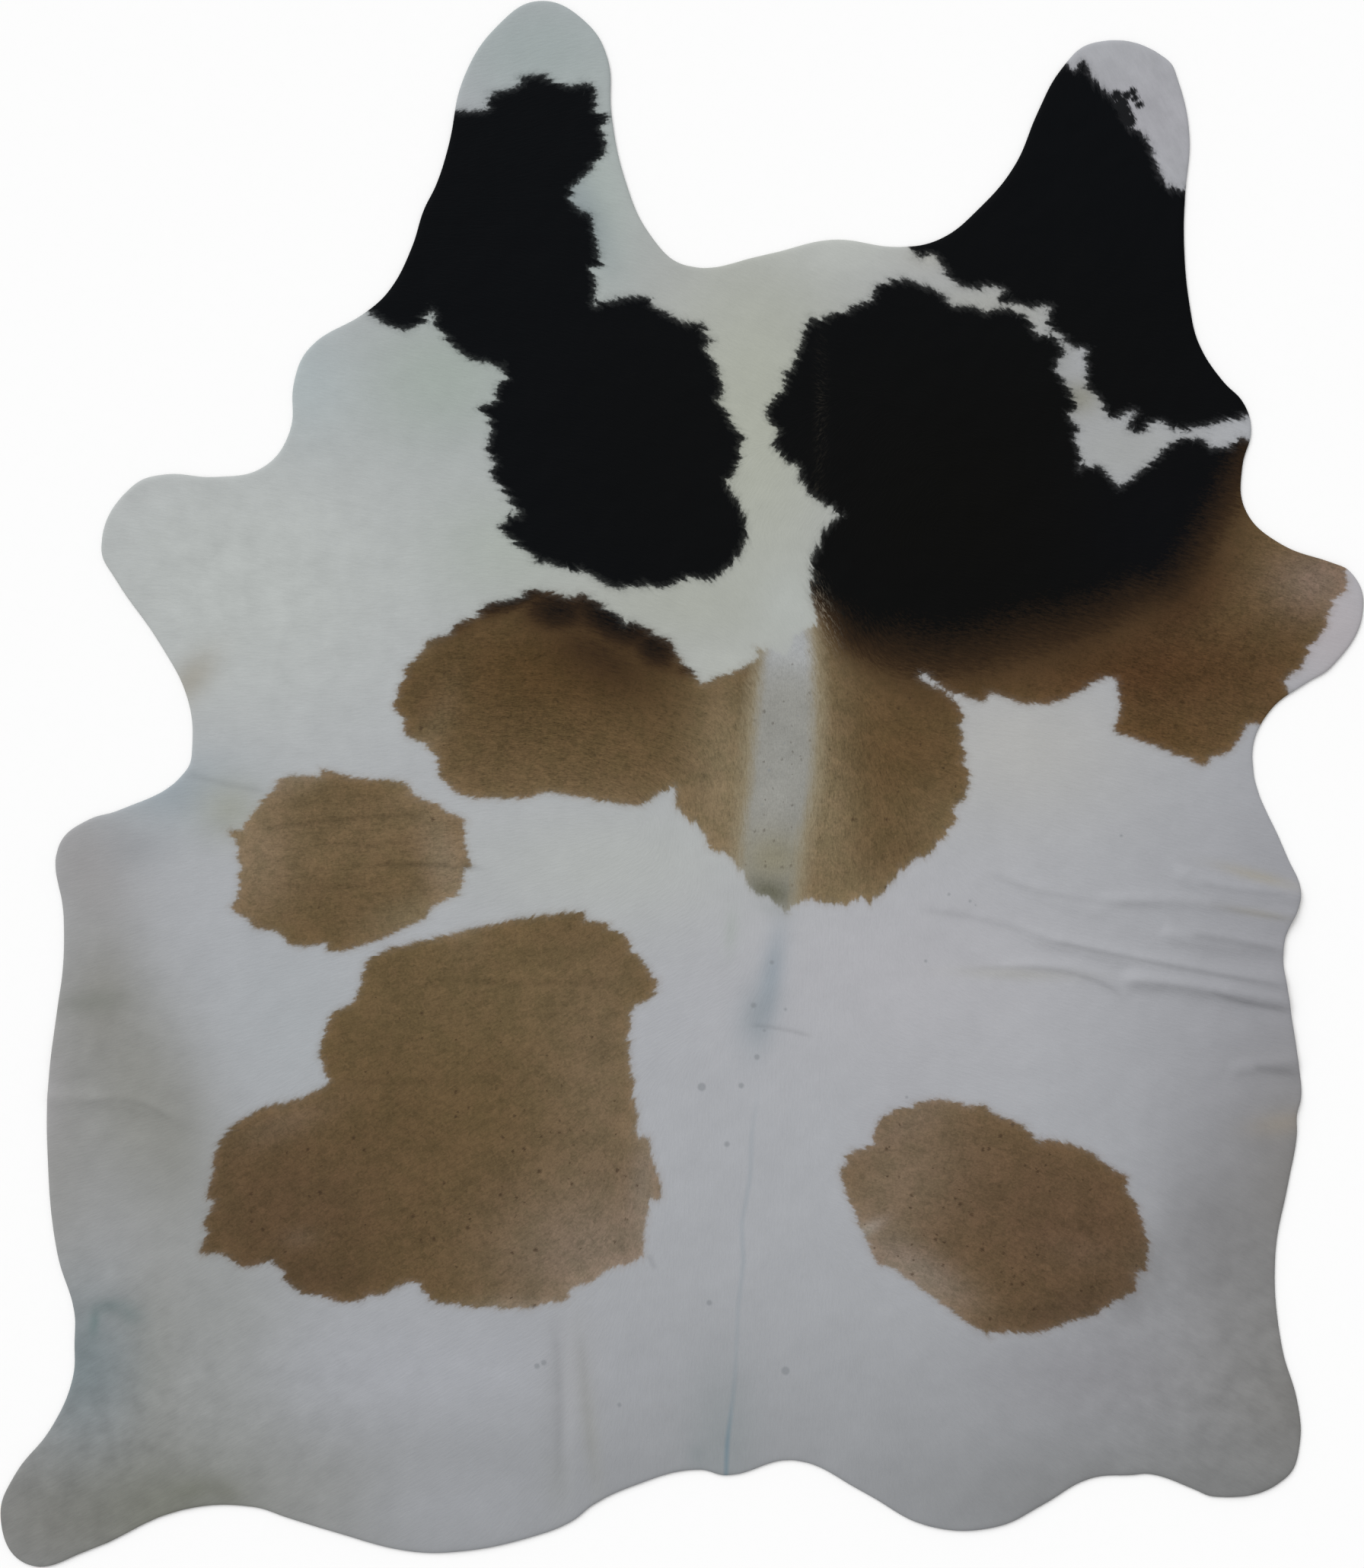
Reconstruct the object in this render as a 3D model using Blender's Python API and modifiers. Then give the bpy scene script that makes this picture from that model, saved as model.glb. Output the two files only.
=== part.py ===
"""A whole hair-on cowhide, laid flat on a floor with its hair side up.

Metres, with +Z up and +Y towards the neck. The underside rests on Z = 0, and the
origin is under the middle of the hide's box. Points in the tables are (x, y) in
millimetres, measured from the middle of the hide.
"""

from collections import namedtuple

import bmesh
import bpy
import numpy as np

MM = 0.001

# The sheet
LEATHER = 2 * MM
HAIR = 3 * MM  # short hair, lying flat on the leather
THICKNESS = LEATHER + HAIR

# How finely the shapes are cut
OUTLINE_STEPS = 5  # straight steps from one point of the outline to the next
CELL = 80 * MM  # cells of the sheet where it lies flat
CELL_REACHES = (75 * MM, 45 * MM, 28 * MM)  # nearer a crease than this, cells halve
CREASE_SAMPLES = 33
CREASE_END = 0.22  # share of a crease's length over which each end dies away
FLAT_BELOW = 0.15 * MM  # a smaller rise is left flat, so that the hide lies down
TRIM_HEIGHT = 0.1  # of the block that the outline is cut with

# Colour of the hair where it has no patch
HAIR_COLOUR = (0.42, 0.44, 0.43, 1.0)
HAIR_ROUGHNESS = 0.62

# The trimmed edge, clockwise from the tip of the left foreleg, as seen from above.
OUTLINE = {
    "left foreleg, inner side": (
        (-210, 1149), (-142, 1118), (-110, 1065), (-105, 987),
        (-85, 888), (-46, 803), (4, 760),
    ),
    "neck": (
        (124, 776), (222, 798), (318, 787), (378, 798), (438, 845), (490, 908),
    ),
    "right foreleg": (
        (523, 985), (558, 1049), (603, 1087), (714, 1062), (727, 1036), (745, 950),
        (739, 869), (737, 796), (746, 698), (759, 645), (797, 587), (823, 561),
    ),
    "right shoulder": (
        (836, 519), (823, 468), (827, 401), (879, 351), (958, 322), (980, 312),
        (1001, 260), (953, 170), (918, 148), (862, 105), (837, 40),
    ),
    "right flank": (
        (887, -105), (909, -162), (883, -238), (891, -318), (904, -406), (909, -462),
        (902, -489), (903, -513), (890, -588), (871, -693), (881, -830),
    ),
    "right shank": (
        (904, -911), (907, -972), (888, -1020), (780, -1048), (755, -1038),
        (684, -1014), (665, -1016), (600, -1021), (528, -1061), (464, -1092),
    ),
    "rump": (
        (361, -1091), (268, -1042), (165, -994), (63, -1017), (28, -1008),
        (-74, -1033), (-134, -1062), (-160, -1083),
    ),
    "left haunch": (
        (-224, -1108), (-331, -1129), (-402, -1128), (-510, -1100), (-582, -1078),
        (-629, -1063), (-737, -1068),
    ),
    "left shank": (
        (-873, -1127), (-964, -1147), (-1001, -1078), (-980, -1017), (-927, -949),
        (-894, -872),
    ),
    "left flank": (
        (-892, -821), (-892, -778), (-917, -693), (-932, -536), (-931, -451),
        (-917, -330), (-909, -271), (-908, -193), (-915, -91), (-869, -53),
        (-831, -42), (-727, 19), (-719, 55), (-726, 125), (-767, 206),
    ),
    "left shoulder": (
        (-833, 302), (-853, 344), (-806, 437), (-759, 453), (-688, 449),
        (-614, 464), (-575, 518), (-570, 587), (-549, 637), (-463, 692),
    ),
    "left foreleg, outer side": (
        (-430, 723), (-396, 788), (-379, 842), (-361, 878), (-342, 938),
        (-321, 1034), (-271, 1112),
    ),
}

# Creases left by folding: soft ridges that the leather and the hair share. Each
# runs from start to end past bend, and those of the thin belly run out over the rim.
Crease = namedtuple("Crease", "start bend end half_width height")
CREASES = {
    "belly, deepest": Crease((640, -290), (745, -296), (990, -340), 13, 7.0),
    "belly, long": Crease((470, -208), (690, -262), (990, -306), 12, 4.0),
    "belly, inner": Crease((430, -283), (570, -270), (665, -318), 12, 2.5),
    "belly, rim": Crease((700, -216), (780, -232), (980, -254), 13, 4.0),
    "belly, upper": Crease((735, -112), (790, -156), (1010, -166), 14, 4.5),
    "belly, middle": Crease((590, -182), (750, -172), (1000, -212), 12, 3.0),
    "belly, inner upper": Crease((465, -128), (545, -168), (655, -194), 13, 2.0),
    "right flank, lower": Crease((800, -424), (860, -412), (980, -404), 12, 3.0),
    "left flank": Crease((-1010, -468), (-830, -466), (-700, -512), 13, 3.0),
}

# Places where the hide doesn't quite lie down: low swells.
Swell = namedtuple("Swell", "centre half_length half_width height")
SWELLS = {
    "belly rim, upper": Swell((905, -205), 90, 26, 3.5),
    "belly rim, middle": Swell((900, -285), 100, 24, 3.0),
    "belly rim, lower": Swell((910, -370), 80, 40, 3.5),
    "right flank rim": Swell((912, -480), 60, 36, 2.5),
    "left flank rim": Swell((-935, -400), 70, 55, 2.5),
}


def clear_scene():
    for thing in list(bpy.data.objects):
        bpy.data.objects.remove(thing, do_unlink=True)


def new_collection(name):
    collection = bpy.data.collections.new(name)
    bpy.context.scene.collection.children.link(collection)
    return collection


def outline_curve(collection):
    """The trimmed edge as one smooth closed curve, filled and raised to a block."""
    points = [point for stretch in OUTLINE.values() for point in stretch]
    curve = bpy.data.curves.new("trim_line", "CURVE")
    curve.dimensions = "2D"
    curve.fill_mode = "BOTH"
    curve.extrude = TRIM_HEIGHT / 2
    curve.resolution_u = OUTLINE_STEPS
    spline = curve.splines.new("BEZIER")
    spline.bezier_points.add(len(points) - 1)
    for knot, (x, y) in zip(spline.bezier_points, points):
        knot.co = (x * MM, y * MM, 0.0)
        knot.handle_left_type = "AUTO"
        knot.handle_right_type = "AUTO"
    spline.use_cyclic_u = True
    block = bpy.data.objects.new("trim_line", curve)
    collection.objects.link(block)
    return block


def as_mesh(thing, name, collection):
    """The curve object as a closed mesh in the same place."""
    graph = bpy.context.evaluated_depsgraph_get()
    mesh = bpy.data.meshes.new_from_object(thing.evaluated_get(graph))
    shape = bmesh.new()
    shape.from_mesh(mesh)
    bmesh.ops.remove_doubles(shape, verts=shape.verts, dist=0.0001)
    bmesh.ops.recalc_face_normals(shape, faces=shape.faces)
    shape.to_mesh(mesh)
    shape.free()
    made = bpy.data.objects.new(name, mesh)
    made.matrix_world = thing.matrix_world
    collection.objects.link(made)
    bpy.data.objects.remove(thing, do_unlink=True)
    return made


def centre_in_plan(block):
    """Moves the block's points so that the middle of its box is over the origin."""
    corners = np.array([vertex.co[:] for vertex in block.data.vertices])
    middle = (corners.min(axis=0) + corners.max(axis=0)) / 2
    for vertex in block.data.vertices:
        vertex.co.x -= middle[0]
        vertex.co.y -= middle[1]


def crease_line(crease):
    """Points along the crease, on a curve that passes its bend halfway."""
    start, bend, end = (np.array(p) * MM for p in (crease.start, crease.bend, crease.end))
    pull = 2 * bend - (start + end) / 2
    t = np.linspace(0, 1, CREASE_SAMPLES)[:, None]
    return (1 - t) ** 2 * start + 2 * (1 - t) * t * pull + t**2 * end


def from_crease(crease, places):
    """For each place, how far it is from the crease and how far along it, 0 to 1."""
    line = crease_line(crease)
    apart = np.linalg.norm(places[:, None, :] - line[None, :, :], axis=2)
    return apart.min(axis=1), apart.argmin(axis=1) / (CREASE_SAMPLES - 1)


def smooth_step(value):
    value = np.clip(value, 0, 1)
    return value * value * (3 - 2 * value)


def relief(places):
    """How far the hide stands off the floor at each place."""
    rise = np.zeros(len(places))
    for crease in CREASES.values():
        away, along = from_crease(crease, places)
        ends = smooth_step(np.minimum(along, 1 - along) / CREASE_END)
        rise += crease.height * MM * ends * np.exp(-((away / (crease.half_width * MM)) ** 2))
    for swell in SWELLS.values():
        offset = (places - np.array(swell.centre) * MM) / MM
        reach = (offset[:, 0] / swell.half_length) ** 2
        reach += (offset[:, 1] / swell.half_width) ** 2
        rise += swell.height * MM * np.exp(-reach)
    return np.maximum(rise - FLAT_BELOW, 0.0)


def crease_distance(places):
    return np.min([from_crease(crease, places)[0] for crease in CREASES.values()], axis=0)


def halve_cells_near_creases(shape):
    for reach in CELL_REACHES:
        edges = list(shape.edges)
        middles = np.array([((e.verts[0].co + e.verts[1].co) / 2)[:2] for e in edges])
        near = crease_distance(middles) < reach
        bmesh.ops.subdivide_edges(
            shape,
            edges=[edge for edge, is_near in zip(edges, near) if is_near],
            cuts=1,
            use_grid_fill=True,
        )


def creased_sheet(size_x, size_y, collection):
    """A sheet with the creases in it, larger than the hide all round."""
    columns = int(np.ceil(size_x / CELL)) + 1
    rows = int(np.ceil(size_y / CELL)) + 1
    shape = bmesh.new()
    bmesh.ops.create_grid(shape, x_segments=columns, y_segments=rows, size=0.5)
    bmesh.ops.scale(shape, vec=(columns * CELL, rows * CELL, 1), verts=shape.verts)
    halve_cells_near_creases(shape)
    bmesh.ops.triangulate(shape, faces=shape.faces)
    heights = relief(np.array([vertex.co[:2] for vertex in shape.verts]))
    for vertex, height in zip(shape.verts, heights):
        vertex.co.z = THICKNESS + height
    mesh = bpy.data.meshes.new("hide")
    shape.to_mesh(mesh)
    shape.free()
    sheet = bpy.data.objects.new("hide", mesh)
    collection.objects.link(sheet)
    return sheet


def hair_material():
    material = bpy.data.materials.new("hair coat")
    material.use_nodes = True
    shader = material.node_tree.nodes["Principled BSDF"]
    shader.inputs["Base Color"].default_value = HAIR_COLOUR
    shader.inputs["Roughness"].default_value = HAIR_ROUGHNESS
    shader.inputs["Metallic"].default_value = 0.0
    return material


def build_hide():
    hide_pieces = new_collection("cowhide rug")
    cutters = new_collection("cutters")
    trim = as_mesh(outline_curve(cutters), "trim_block", cutters)
    centre_in_plan(trim)
    trim.hide_render = True
    trim.display_type = "WIRE"
    sheet = creased_sheet(trim.dimensions.x, trim.dimensions.y, hide_pieces)
    sheet.data.materials.append(hair_material())
    sheet.data.shade_smooth()
    body = sheet.modifiers.new("leather and hair", "SOLIDIFY")
    body.thickness = THICKNESS
    body.offset = -1
    cut = sheet.modifiers.new("trimmed edge", "BOOLEAN")
    cut.operation = "INTERSECT"
    cut.object = trim
    cut.solver = "EXACT"


clear_scene()
build_hide()
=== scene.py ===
"""A cowhide rug, hair side up, on a pale floor.

Metres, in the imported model's frame: +Z up, +Y towards the neck, the floor at Z = 0.
Points in the tables are (x, y) in millimetres from the middle of the hide.
"""

from collections import namedtuple

import bmesh
import bpy
import numpy as np
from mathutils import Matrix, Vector
from mathutils.geometry import delaunay_2d_cdt
from mathutils.kdtree import KDTree


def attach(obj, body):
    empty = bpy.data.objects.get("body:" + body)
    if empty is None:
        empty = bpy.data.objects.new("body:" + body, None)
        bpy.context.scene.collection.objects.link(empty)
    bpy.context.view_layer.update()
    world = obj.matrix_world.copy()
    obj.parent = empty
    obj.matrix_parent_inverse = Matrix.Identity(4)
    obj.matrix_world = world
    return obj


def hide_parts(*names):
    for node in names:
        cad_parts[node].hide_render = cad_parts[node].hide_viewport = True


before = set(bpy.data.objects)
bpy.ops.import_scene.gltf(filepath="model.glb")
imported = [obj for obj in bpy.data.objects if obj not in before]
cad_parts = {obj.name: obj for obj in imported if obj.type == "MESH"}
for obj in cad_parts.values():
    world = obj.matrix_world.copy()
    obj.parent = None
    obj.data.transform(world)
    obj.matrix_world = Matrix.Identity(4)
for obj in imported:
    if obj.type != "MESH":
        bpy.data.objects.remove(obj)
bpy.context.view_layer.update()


# ---------------------------------------------------------------------------
# The leather
# Full cow leather about 2 mm thick, tanned with the hair on and trimmed round its
# edge in one smooth cut. It lies with its suede side down, and it holds the creases
# left by folding, so the hair coat above takes its lie from here.
# ---------------------------------------------------------------------------
MM = 0.001
LEATHER = 2 * MM
CUT_STEP = 6 * MM  # from point to point along the trimmed edge
CUT_EASE = 12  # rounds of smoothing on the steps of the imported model's edge
LEATHER_CELL = 18 * MM
LEATHER_CREASE_CELL = 6 * MM
CREASE_REACH = 36 * MM  # from a crease, where the finer cells are used

Crease = namedtuple("Crease", "start bend end half_width height")
CREASES = {
    "belly, deepest": Crease((640, -290), (745, -296), (990, -340), 13, 7.0),
    "belly, long": Crease((470, -208), (690, -262), (990, -306), 12, 4.0),
    "belly, inner": Crease((430, -283), (570, -270), (665, -318), 12, 2.5),
    "belly, rim": Crease((700, -216), (780, -232), (980, -254), 13, 4.0),
    "belly, upper": Crease((735, -112), (790, -156), (1010, -166), 14, 4.5),
    "belly, middle": Crease((590, -182), (750, -172), (1000, -212), 12, 3.0),
    "belly, inner upper": Crease((465, -128), (545, -168), (655, -194), 13, 2.0),
    "right flank, lower": Crease((800, -424), (860, -412), (980, -404), 12, 3.0),
    "left flank": Crease((-1010, -468), (-830, -466), (-700, -512), 13, 3.0),
}
CREASE_SAMPLES = 33  # points along a crease
CREASE_END = 0.22  # share of a crease's length over which each end dies away
FLAT_BELOW = 0.15 * MM  # a smaller rise is left flat

Swell = namedtuple("Swell", "centre half_length half_width height")
SWELLS = {
    "belly rim, upper": Swell((905, -205), 90, 26, 3.5),
    "belly rim, middle": Swell((900, -285), 100, 24, 3.0),
    "belly rim, lower": Swell((910, -370), 80, 40, 3.5),
    "right flank rim": Swell((912, -480), 60, 36, 2.5),
    "left flank rim": Swell((-935, -400), 70, 55, 2.5),
}

PACKED_STEP = 2 * MM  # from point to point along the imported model's edge
LEATHER_RIM = 0.4 * MM  # how far inside that edge the leather ends
LEATHER_RING = 2.5 * MM  # and how far inside it a second ring of points lies
COARSE_MARGIN, FINE_MARGIN = 10 * MM, 6 * MM  # from the edge to the first cells
ROW_GAP = 0.866  # of a cell, from one staggered row to the next
ROW_JITTER = 0.16  # of a cell

SUEDE_TONES = ((0.33, 0.25, 0.18, 1.0), (0.50, 0.41, 0.32, 1.0))
CUT_TONE = (0.56, 0.54, 0.50, 1.0)
SUEDE_NAP = 0.7 * MM  # width of the raised fibres
SUEDE_BLOTCH = 50 * MM
NAP_SHARE, BLOTCH_SHARE, TONE_BELOW = 0.5, 0.9, 0.2  # of the way from tone to tone
SUEDE_DEPTH, SUEDE_BUMP, BLOTCH_BUMP = 0.4 * MM, 0.7, 0.8
SUEDE_ROUGH = (0.82, 0.96)
SUEDE_GLOSS = 0.2
FACES_DOWN, UPRIGHT = -0.5, 0.3  # upward share of a face's normal


def packed_edge(hide):
    """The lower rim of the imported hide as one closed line, counter-clockwise."""
    shape = bmesh.new()
    shape.from_mesh(hide.data)
    bmesh.ops.remove_doubles(shape, verts=shape.verts, dist=1e-6)
    shape.normal_update()
    beside = {}
    for edge in shape.edges:
        if len(edge.link_faces) != 2:
            continue
        under, side = sorted(face.normal.z for face in edge.link_faces)
        if under < FACES_DOWN and abs(side) < UPRIGHT:
            one, other = (corner.index for corner in edge.verts)
            beside.setdefault(one, []).append(other)
            beside.setdefault(other, []).append(one)
    shape.verts.ensure_lookup_table()
    line = [min(beside)]
    while True:
        ahead = [v for v in beside[line[-1]] if len(line) < 2 or v != line[-2]]
        if ahead[0] == line[0]:
            break
        line.append(ahead[0])
    points = np.array([shape.verts[v].co[:2] for v in line])
    shape.free()
    return counter_clockwise(points)


def counter_clockwise(line):
    x, y = line.T
    turn = np.sum(x * np.roll(y, -1) - np.roll(x, -1) * y)
    return line if turn > 0 else line[::-1]


def evenly_spaced(points, step):
    """Points every step along a closed line."""
    ring = np.vstack([points, points[:1]])
    run = np.linalg.norm(np.diff(ring, axis=0), axis=1).cumsum()
    run = np.concatenate([[0.0], run])
    at = np.linspace(0, run[-1], int(run[-1] / step), endpoint=False)
    return np.column_stack([np.interp(at, run, ring[:, 0]), np.interp(at, run, ring[:, 1])])


def pulled_in(line, inset):
    """The closed line moved inwards, or outwards where inset is negative."""
    along = np.roll(line, -1, axis=0) - np.roll(line, 1, axis=0)
    along /= np.linalg.norm(along, axis=1)[:, None]
    return line + inset * np.column_stack([-along[:, 1], along[:, 0]])


def smooth_step(value):
    value = np.clip(value, 0, 1)
    return value * value * (3 - 2 * value)


def crease_line(crease):
    """Points along the crease, on a curve that passes its bend halfway."""
    start, bend, end = (np.array(p) * MM for p in (crease.start, crease.bend, crease.end))
    pull = 2 * bend - (start + end) / 2
    t = np.linspace(0, 1, CREASE_SAMPLES)[:, None]
    return (1 - t) ** 2 * start + 2 * (1 - t) * t * pull + t**2 * end


def from_crease(crease, places):
    """For each place, how far it is from the crease and how far along it, 0 to 1."""
    line = crease_line(crease)
    apart = np.full(len(places), np.inf)
    along = np.zeros(len(places))
    for sample, point in enumerate(line[:-1]):
        leg = line[sample + 1] - point
        share = np.clip((places - point) @ leg / (leg @ leg), 0, 1)
        gap = np.linalg.norm(places - point - share[:, None] * leg, axis=1)
        nearer = gap < apart
        apart[nearer] = gap[nearer]
        along[nearer] = (sample + share[nearer]) / (CREASE_SAMPLES - 1)
    return apart, along


def crease_rise(creases, places):
    rise = np.zeros(len(places))
    for crease in creases.values():
        apart, along = from_crease(crease, places)
        ends = smooth_step(np.minimum(along, 1 - along) / CREASE_END)
        rise += crease.height * MM * ends * np.exp(-((apart / (crease.half_width * MM)) ** 2))
    return rise


def hide_rise(places):
    """How far the hide stands off the floor at each place."""
    rise = crease_rise(CREASES, places)
    for swell in SWELLS.values():
        offset = (places - np.array(swell.centre) * MM) / MM
        reach = (offset[:, 0] / swell.half_length) ** 2
        reach += (offset[:, 1] / swell.half_width) ** 2
        rise += swell.height * MM * np.exp(-reach)
    return np.maximum(rise - FLAT_BELOW, 0.0)


def rows_inside(line, step, margin, seed=0):
    """Staggered rows of places inside the line, none nearer to it than margin."""
    low, high = line.min(axis=0), line.max(axis=0)
    after = np.roll(line, -1, axis=0)
    jitter = np.random.default_rng(seed)
    found = []
    for row, y in enumerate(np.arange(low[1] + step / 2, high[1], step * ROW_GAP)):
        spans = (line[:, 1] > y) != (after[:, 1] > y)
        start, end = line[spans], after[spans]
        cuts = start[:, 0] + (y - start[:, 1]) * (end - start)[:, 0] / (end - start)[:, 1]
        x = np.arange(low[0] + step * (row % 2) / 2, high[0], step)
        x = x[np.searchsorted(np.sort(cuts), x) % 2 == 1]
        found.append(np.column_stack([x, np.full(len(x), y)]))
    found = np.vstack(found)
    found += jitter.uniform(-ROW_JITTER, ROW_JITTER, found.shape) * step
    return found[from_line(line, found) > margin]


def nearest_on_line(line, places):
    """The nearest point of the closed line to each place, and which way the line runs."""
    tree = KDTree(len(line))
    for number, (x, y) in enumerate(line):
        tree.insert((x, y, 0.0), number)
    tree.balance()
    near = np.array([tree.find((x, y, 0.0))[1] for x, y in places])
    gap = np.full(len(places), np.inf)
    foot = np.zeros((len(places), 2))
    ahead = np.zeros((len(places), 2))
    for side in (-1, 1):
        leg = line[(near + side) % len(line)] - line[near]
        share = np.clip(((places - line[near]) * leg).sum(axis=1) / (leg * leg).sum(axis=1), 0, 1)
        point = line[near] + share[:, None] * leg
        apart = np.linalg.norm(places - point, axis=1)
        closer = apart < gap
        gap[closer] = apart[closer]
        foot[closer] = point[closer]
        ahead[closer] = side * leg[closer]
    return foot, ahead / np.linalg.norm(ahead, axis=1)[:, None]


def from_line(line, places):
    """Distance from each place to the closed line."""
    return np.linalg.norm(places - nearest_on_line(line, places)[0], axis=1)


def crease_distance(creases, places):
    return np.min([from_crease(crease, places)[0] for crease in creases.values()], axis=0)


def filled(rim_count, places):
    """Triangles over the places. The first rim_count of them are the closed rim."""
    rim = [(one, (one + 1) % rim_count) for one in range(rim_count)]
    made = delaunay_2d_cdt([Vector(place) for place in places], rim, [], 1, 1e-7)
    if len(made[0]) != len(places):
        raise ValueError("the rim crosses itself")
    return [tuple(face) for face in made[2]]


def closed_sheet(name, rim_count, upper, lower):
    """One closed mesh from two faces of a sheet, whose points start with its rim."""
    above = filled(rim_count, upper[:, :2])
    below = filled(rim_count, lower[:, :2])
    shift = len(upper)
    faces = above + [tuple(shift + corner for corner in reversed(face)) for face in below]
    for one in range(rim_count):
        other = (one + 1) % rim_count
        faces.append((shift + one, shift + other, other, one))
    mesh = bpy.data.meshes.new(name)
    mesh.from_pydata(np.vstack([upper, lower]).tolist(), [], faces)
    mesh.shade_smooth()
    sheet = bpy.data.objects.new(name, mesh)
    bpy.context.scene.collection.objects.link(sheet)
    return sheet


def write_values(piece, name, values):
    """Keeps one number for each point of the piece, for its material to read."""
    layer = piece.data.attributes.new(name, "FLOAT", "POINT")
    layer.data.foreach_set("value", np.asarray(values, dtype=np.float32))


def lifted(places, height):
    return np.column_stack([places, height])


def new_material(name):
    material = bpy.data.materials.new(name)
    material.use_nodes = True
    return material, material.node_tree, material.node_tree.nodes["Principled BSDF"]


def node(tree, kind, inputs=(), **settings):
    """A new node. A value of inputs is a constant or the output that feeds it."""
    made = tree.nodes.new("ShaderNode" + kind)
    for name, value in settings.items():
        setattr(made, name, value)
    for socket, value in dict(inputs).items():
        if isinstance(value, bpy.types.NodeSocket):
            tree.links.new(value, made.inputs[socket])
        else:
            made.inputs[socket].default_value = value
    return made


def maths(tree, operation, *values):
    return node(tree, "Math", dict(enumerate(values)), operation=operation).outputs[0]


def noise(tree, place, scale, detail=2.0, distortion=0.0, **settings):
    """Soft cloudy values about 0.5, so many to the metre."""
    inputs = {"Vector": place, "Scale": scale, "Detail": detail, "Distortion": distortion}
    return node(tree, "TexNoise", inputs, **settings).outputs[0]


def blended(tree, share, first, second):
    inputs = {0: share, 6: first, 7: second}
    return node(tree, "Mix", inputs, data_type="RGBA").outputs[2]


def eased_between(tree, value, low, high):
    """0 below low, 1 above high and smooth between."""
    inputs = {"Value": value, "From Min": low, "From Max": high}
    return node(tree, "MapRange", inputs, interpolation_type="SMOOTHSTEP").outputs[0]


def stored(tree, name, output="Fac"):
    return node(tree, "Attribute", attribute_name=name).outputs[output]


def on_piece(tree):
    return node(tree, "TexCoord").outputs["Object"]


def suede_material():
    material, tree, shader = new_material("suede flesh side")
    place = on_piece(tree)
    nap = noise(tree, place, 1 / SUEDE_NAP, 3.0)
    blotch = noise(tree, place, 1 / SUEDE_BLOTCH, 6.0)
    share = maths(tree, "MULTIPLY_ADD", blotch, BLOTCH_SHARE, -TONE_BELOW)
    suede = blended(tree, maths(tree, "MULTIPLY_ADD", nap, NAP_SHARE, share), *SUEDE_TONES)
    colour = blended(tree, stored(tree, "cut edge"), suede, CUT_TONE)
    tree.links.new(colour, shader.inputs["Base Color"])
    height = maths(tree, "MULTIPLY_ADD", blotch, BLOTCH_BUMP, nap)
    set_relief(tree, shader, height, SUEDE_BUMP, SUEDE_DEPTH)
    set_gloss(tree, shader, nap, SUEDE_ROUGH, SUEDE_GLOSS)
    return material


def set_relief(tree, shader, height, strength, depth):
    bump = node(tree, "Bump", {"Height": height, "Strength": strength, "Distance": depth})
    tree.links.new(bump.outputs[0], shader.inputs["Normal"])


def set_gloss(tree, shader, value, rough, gloss):
    """Roughness that follows the value, and one level of gloss all over."""
    made = node(tree, "MapRange", {"Value": value, "To Min": rough[0], "To Max": rough[1]})
    tree.links.new(made.outputs[0], shader.inputs["Roughness"])
    shader.inputs["Specular IOR Level"].default_value = gloss


edge = evenly_spaced(packed_edge(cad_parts["hide"]), PACKED_STEP)
for _ in range(CUT_EASE):
    edge = (np.roll(edge, 1, axis=0) + 2 * edge + np.roll(edge, -1, axis=0)) / 4
edge = evenly_spaced(edge, CUT_STEP)


def places_over(cell):
    """Places over the hide, a cell apart and closer together near a crease."""
    coarse = rows_inside(edge, cell, COARSE_MARGIN)
    coarse = coarse[crease_distance(CREASES, coarse) > CREASE_REACH]
    fine = rows_inside(edge, LEATHER_CREASE_CELL, FINE_MARGIN)
    fine = fine[crease_distance(CREASES, fine) <= CREASE_REACH]
    return np.vstack([coarse, fine])


def build_leather():
    rim = pulled_in(edge, LEATHER_RIM)
    inner = pulled_in(edge, LEATHER_RING)
    places = np.vstack([rim, inner, places_over(LEATHER_CELL)])
    rise = hide_rise(places)
    upper = lifted(places, rise + LEATHER)
    lower = lifted(places, rise)
    sheet = closed_sheet("leather", len(rim), upper, lower)
    cut = np.zeros(2 * len(places))
    cut[: len(rim)] = 1.0
    cut[len(places) : len(places) + len(rim)] = 1.0
    write_values(sheet, "cut edge", cut)
    sheet.data.materials.append(suede_material())
    return sheet


leather = build_leather()
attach(leather, "root")
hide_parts("hide")


# ---------------------------------------------------------------------------
# The hair coat
# Short straight hair about 3 mm deep, growing from the leather and lying flat, combed
# back from the neck and out over the flanks. Its pale ground has soft tints and stains,
# with painted light and shade among the tints, and its black and brown patches end in small teeth
# of hair.
# ---------------------------------------------------------------------------
HAIR_DEPTH = 3 * MM
HAIR_CELL = 7.2 * MM
HAIR_CREASE_CELL = 3.6 * MM
HAIR_MARGIN = 0.6 * HAIR_CELL  # from the innermost ring of the rim to the first cell
FINER_BY = 2 * MM  # how much nearer the finer cells come
HAIR_CREASE_REACH = 17 * MM
UNDER_CELL = 30 * MM  # of the coat's lower face
ROOTS = 0.4 * MM  # how deep the coat's lower face lies in the leather
# Rises and hollows of the coat: size and height in mm, and seed. Of the broad ones, only
# the rises are kept.
LUMPS = ((34, 0.45, 1), (13, 0.25, 2))
BROAD_LUMPS = (150, 0.8, 5)
KNOTS = 96  # of the grid that the rises and hollows are told by, each way
KNOTS_BEFORE = 40  # how many of them lie before the hide's middle
# How far inside the cut edge each ring lies, in mm, and its share of the coat's depth.
RIM_RINGS = ((-0.6, 0.30), (0.6, 0.62), (2.5, 0.84), (5.0, 0.96), (9.0, 1.0))

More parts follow.
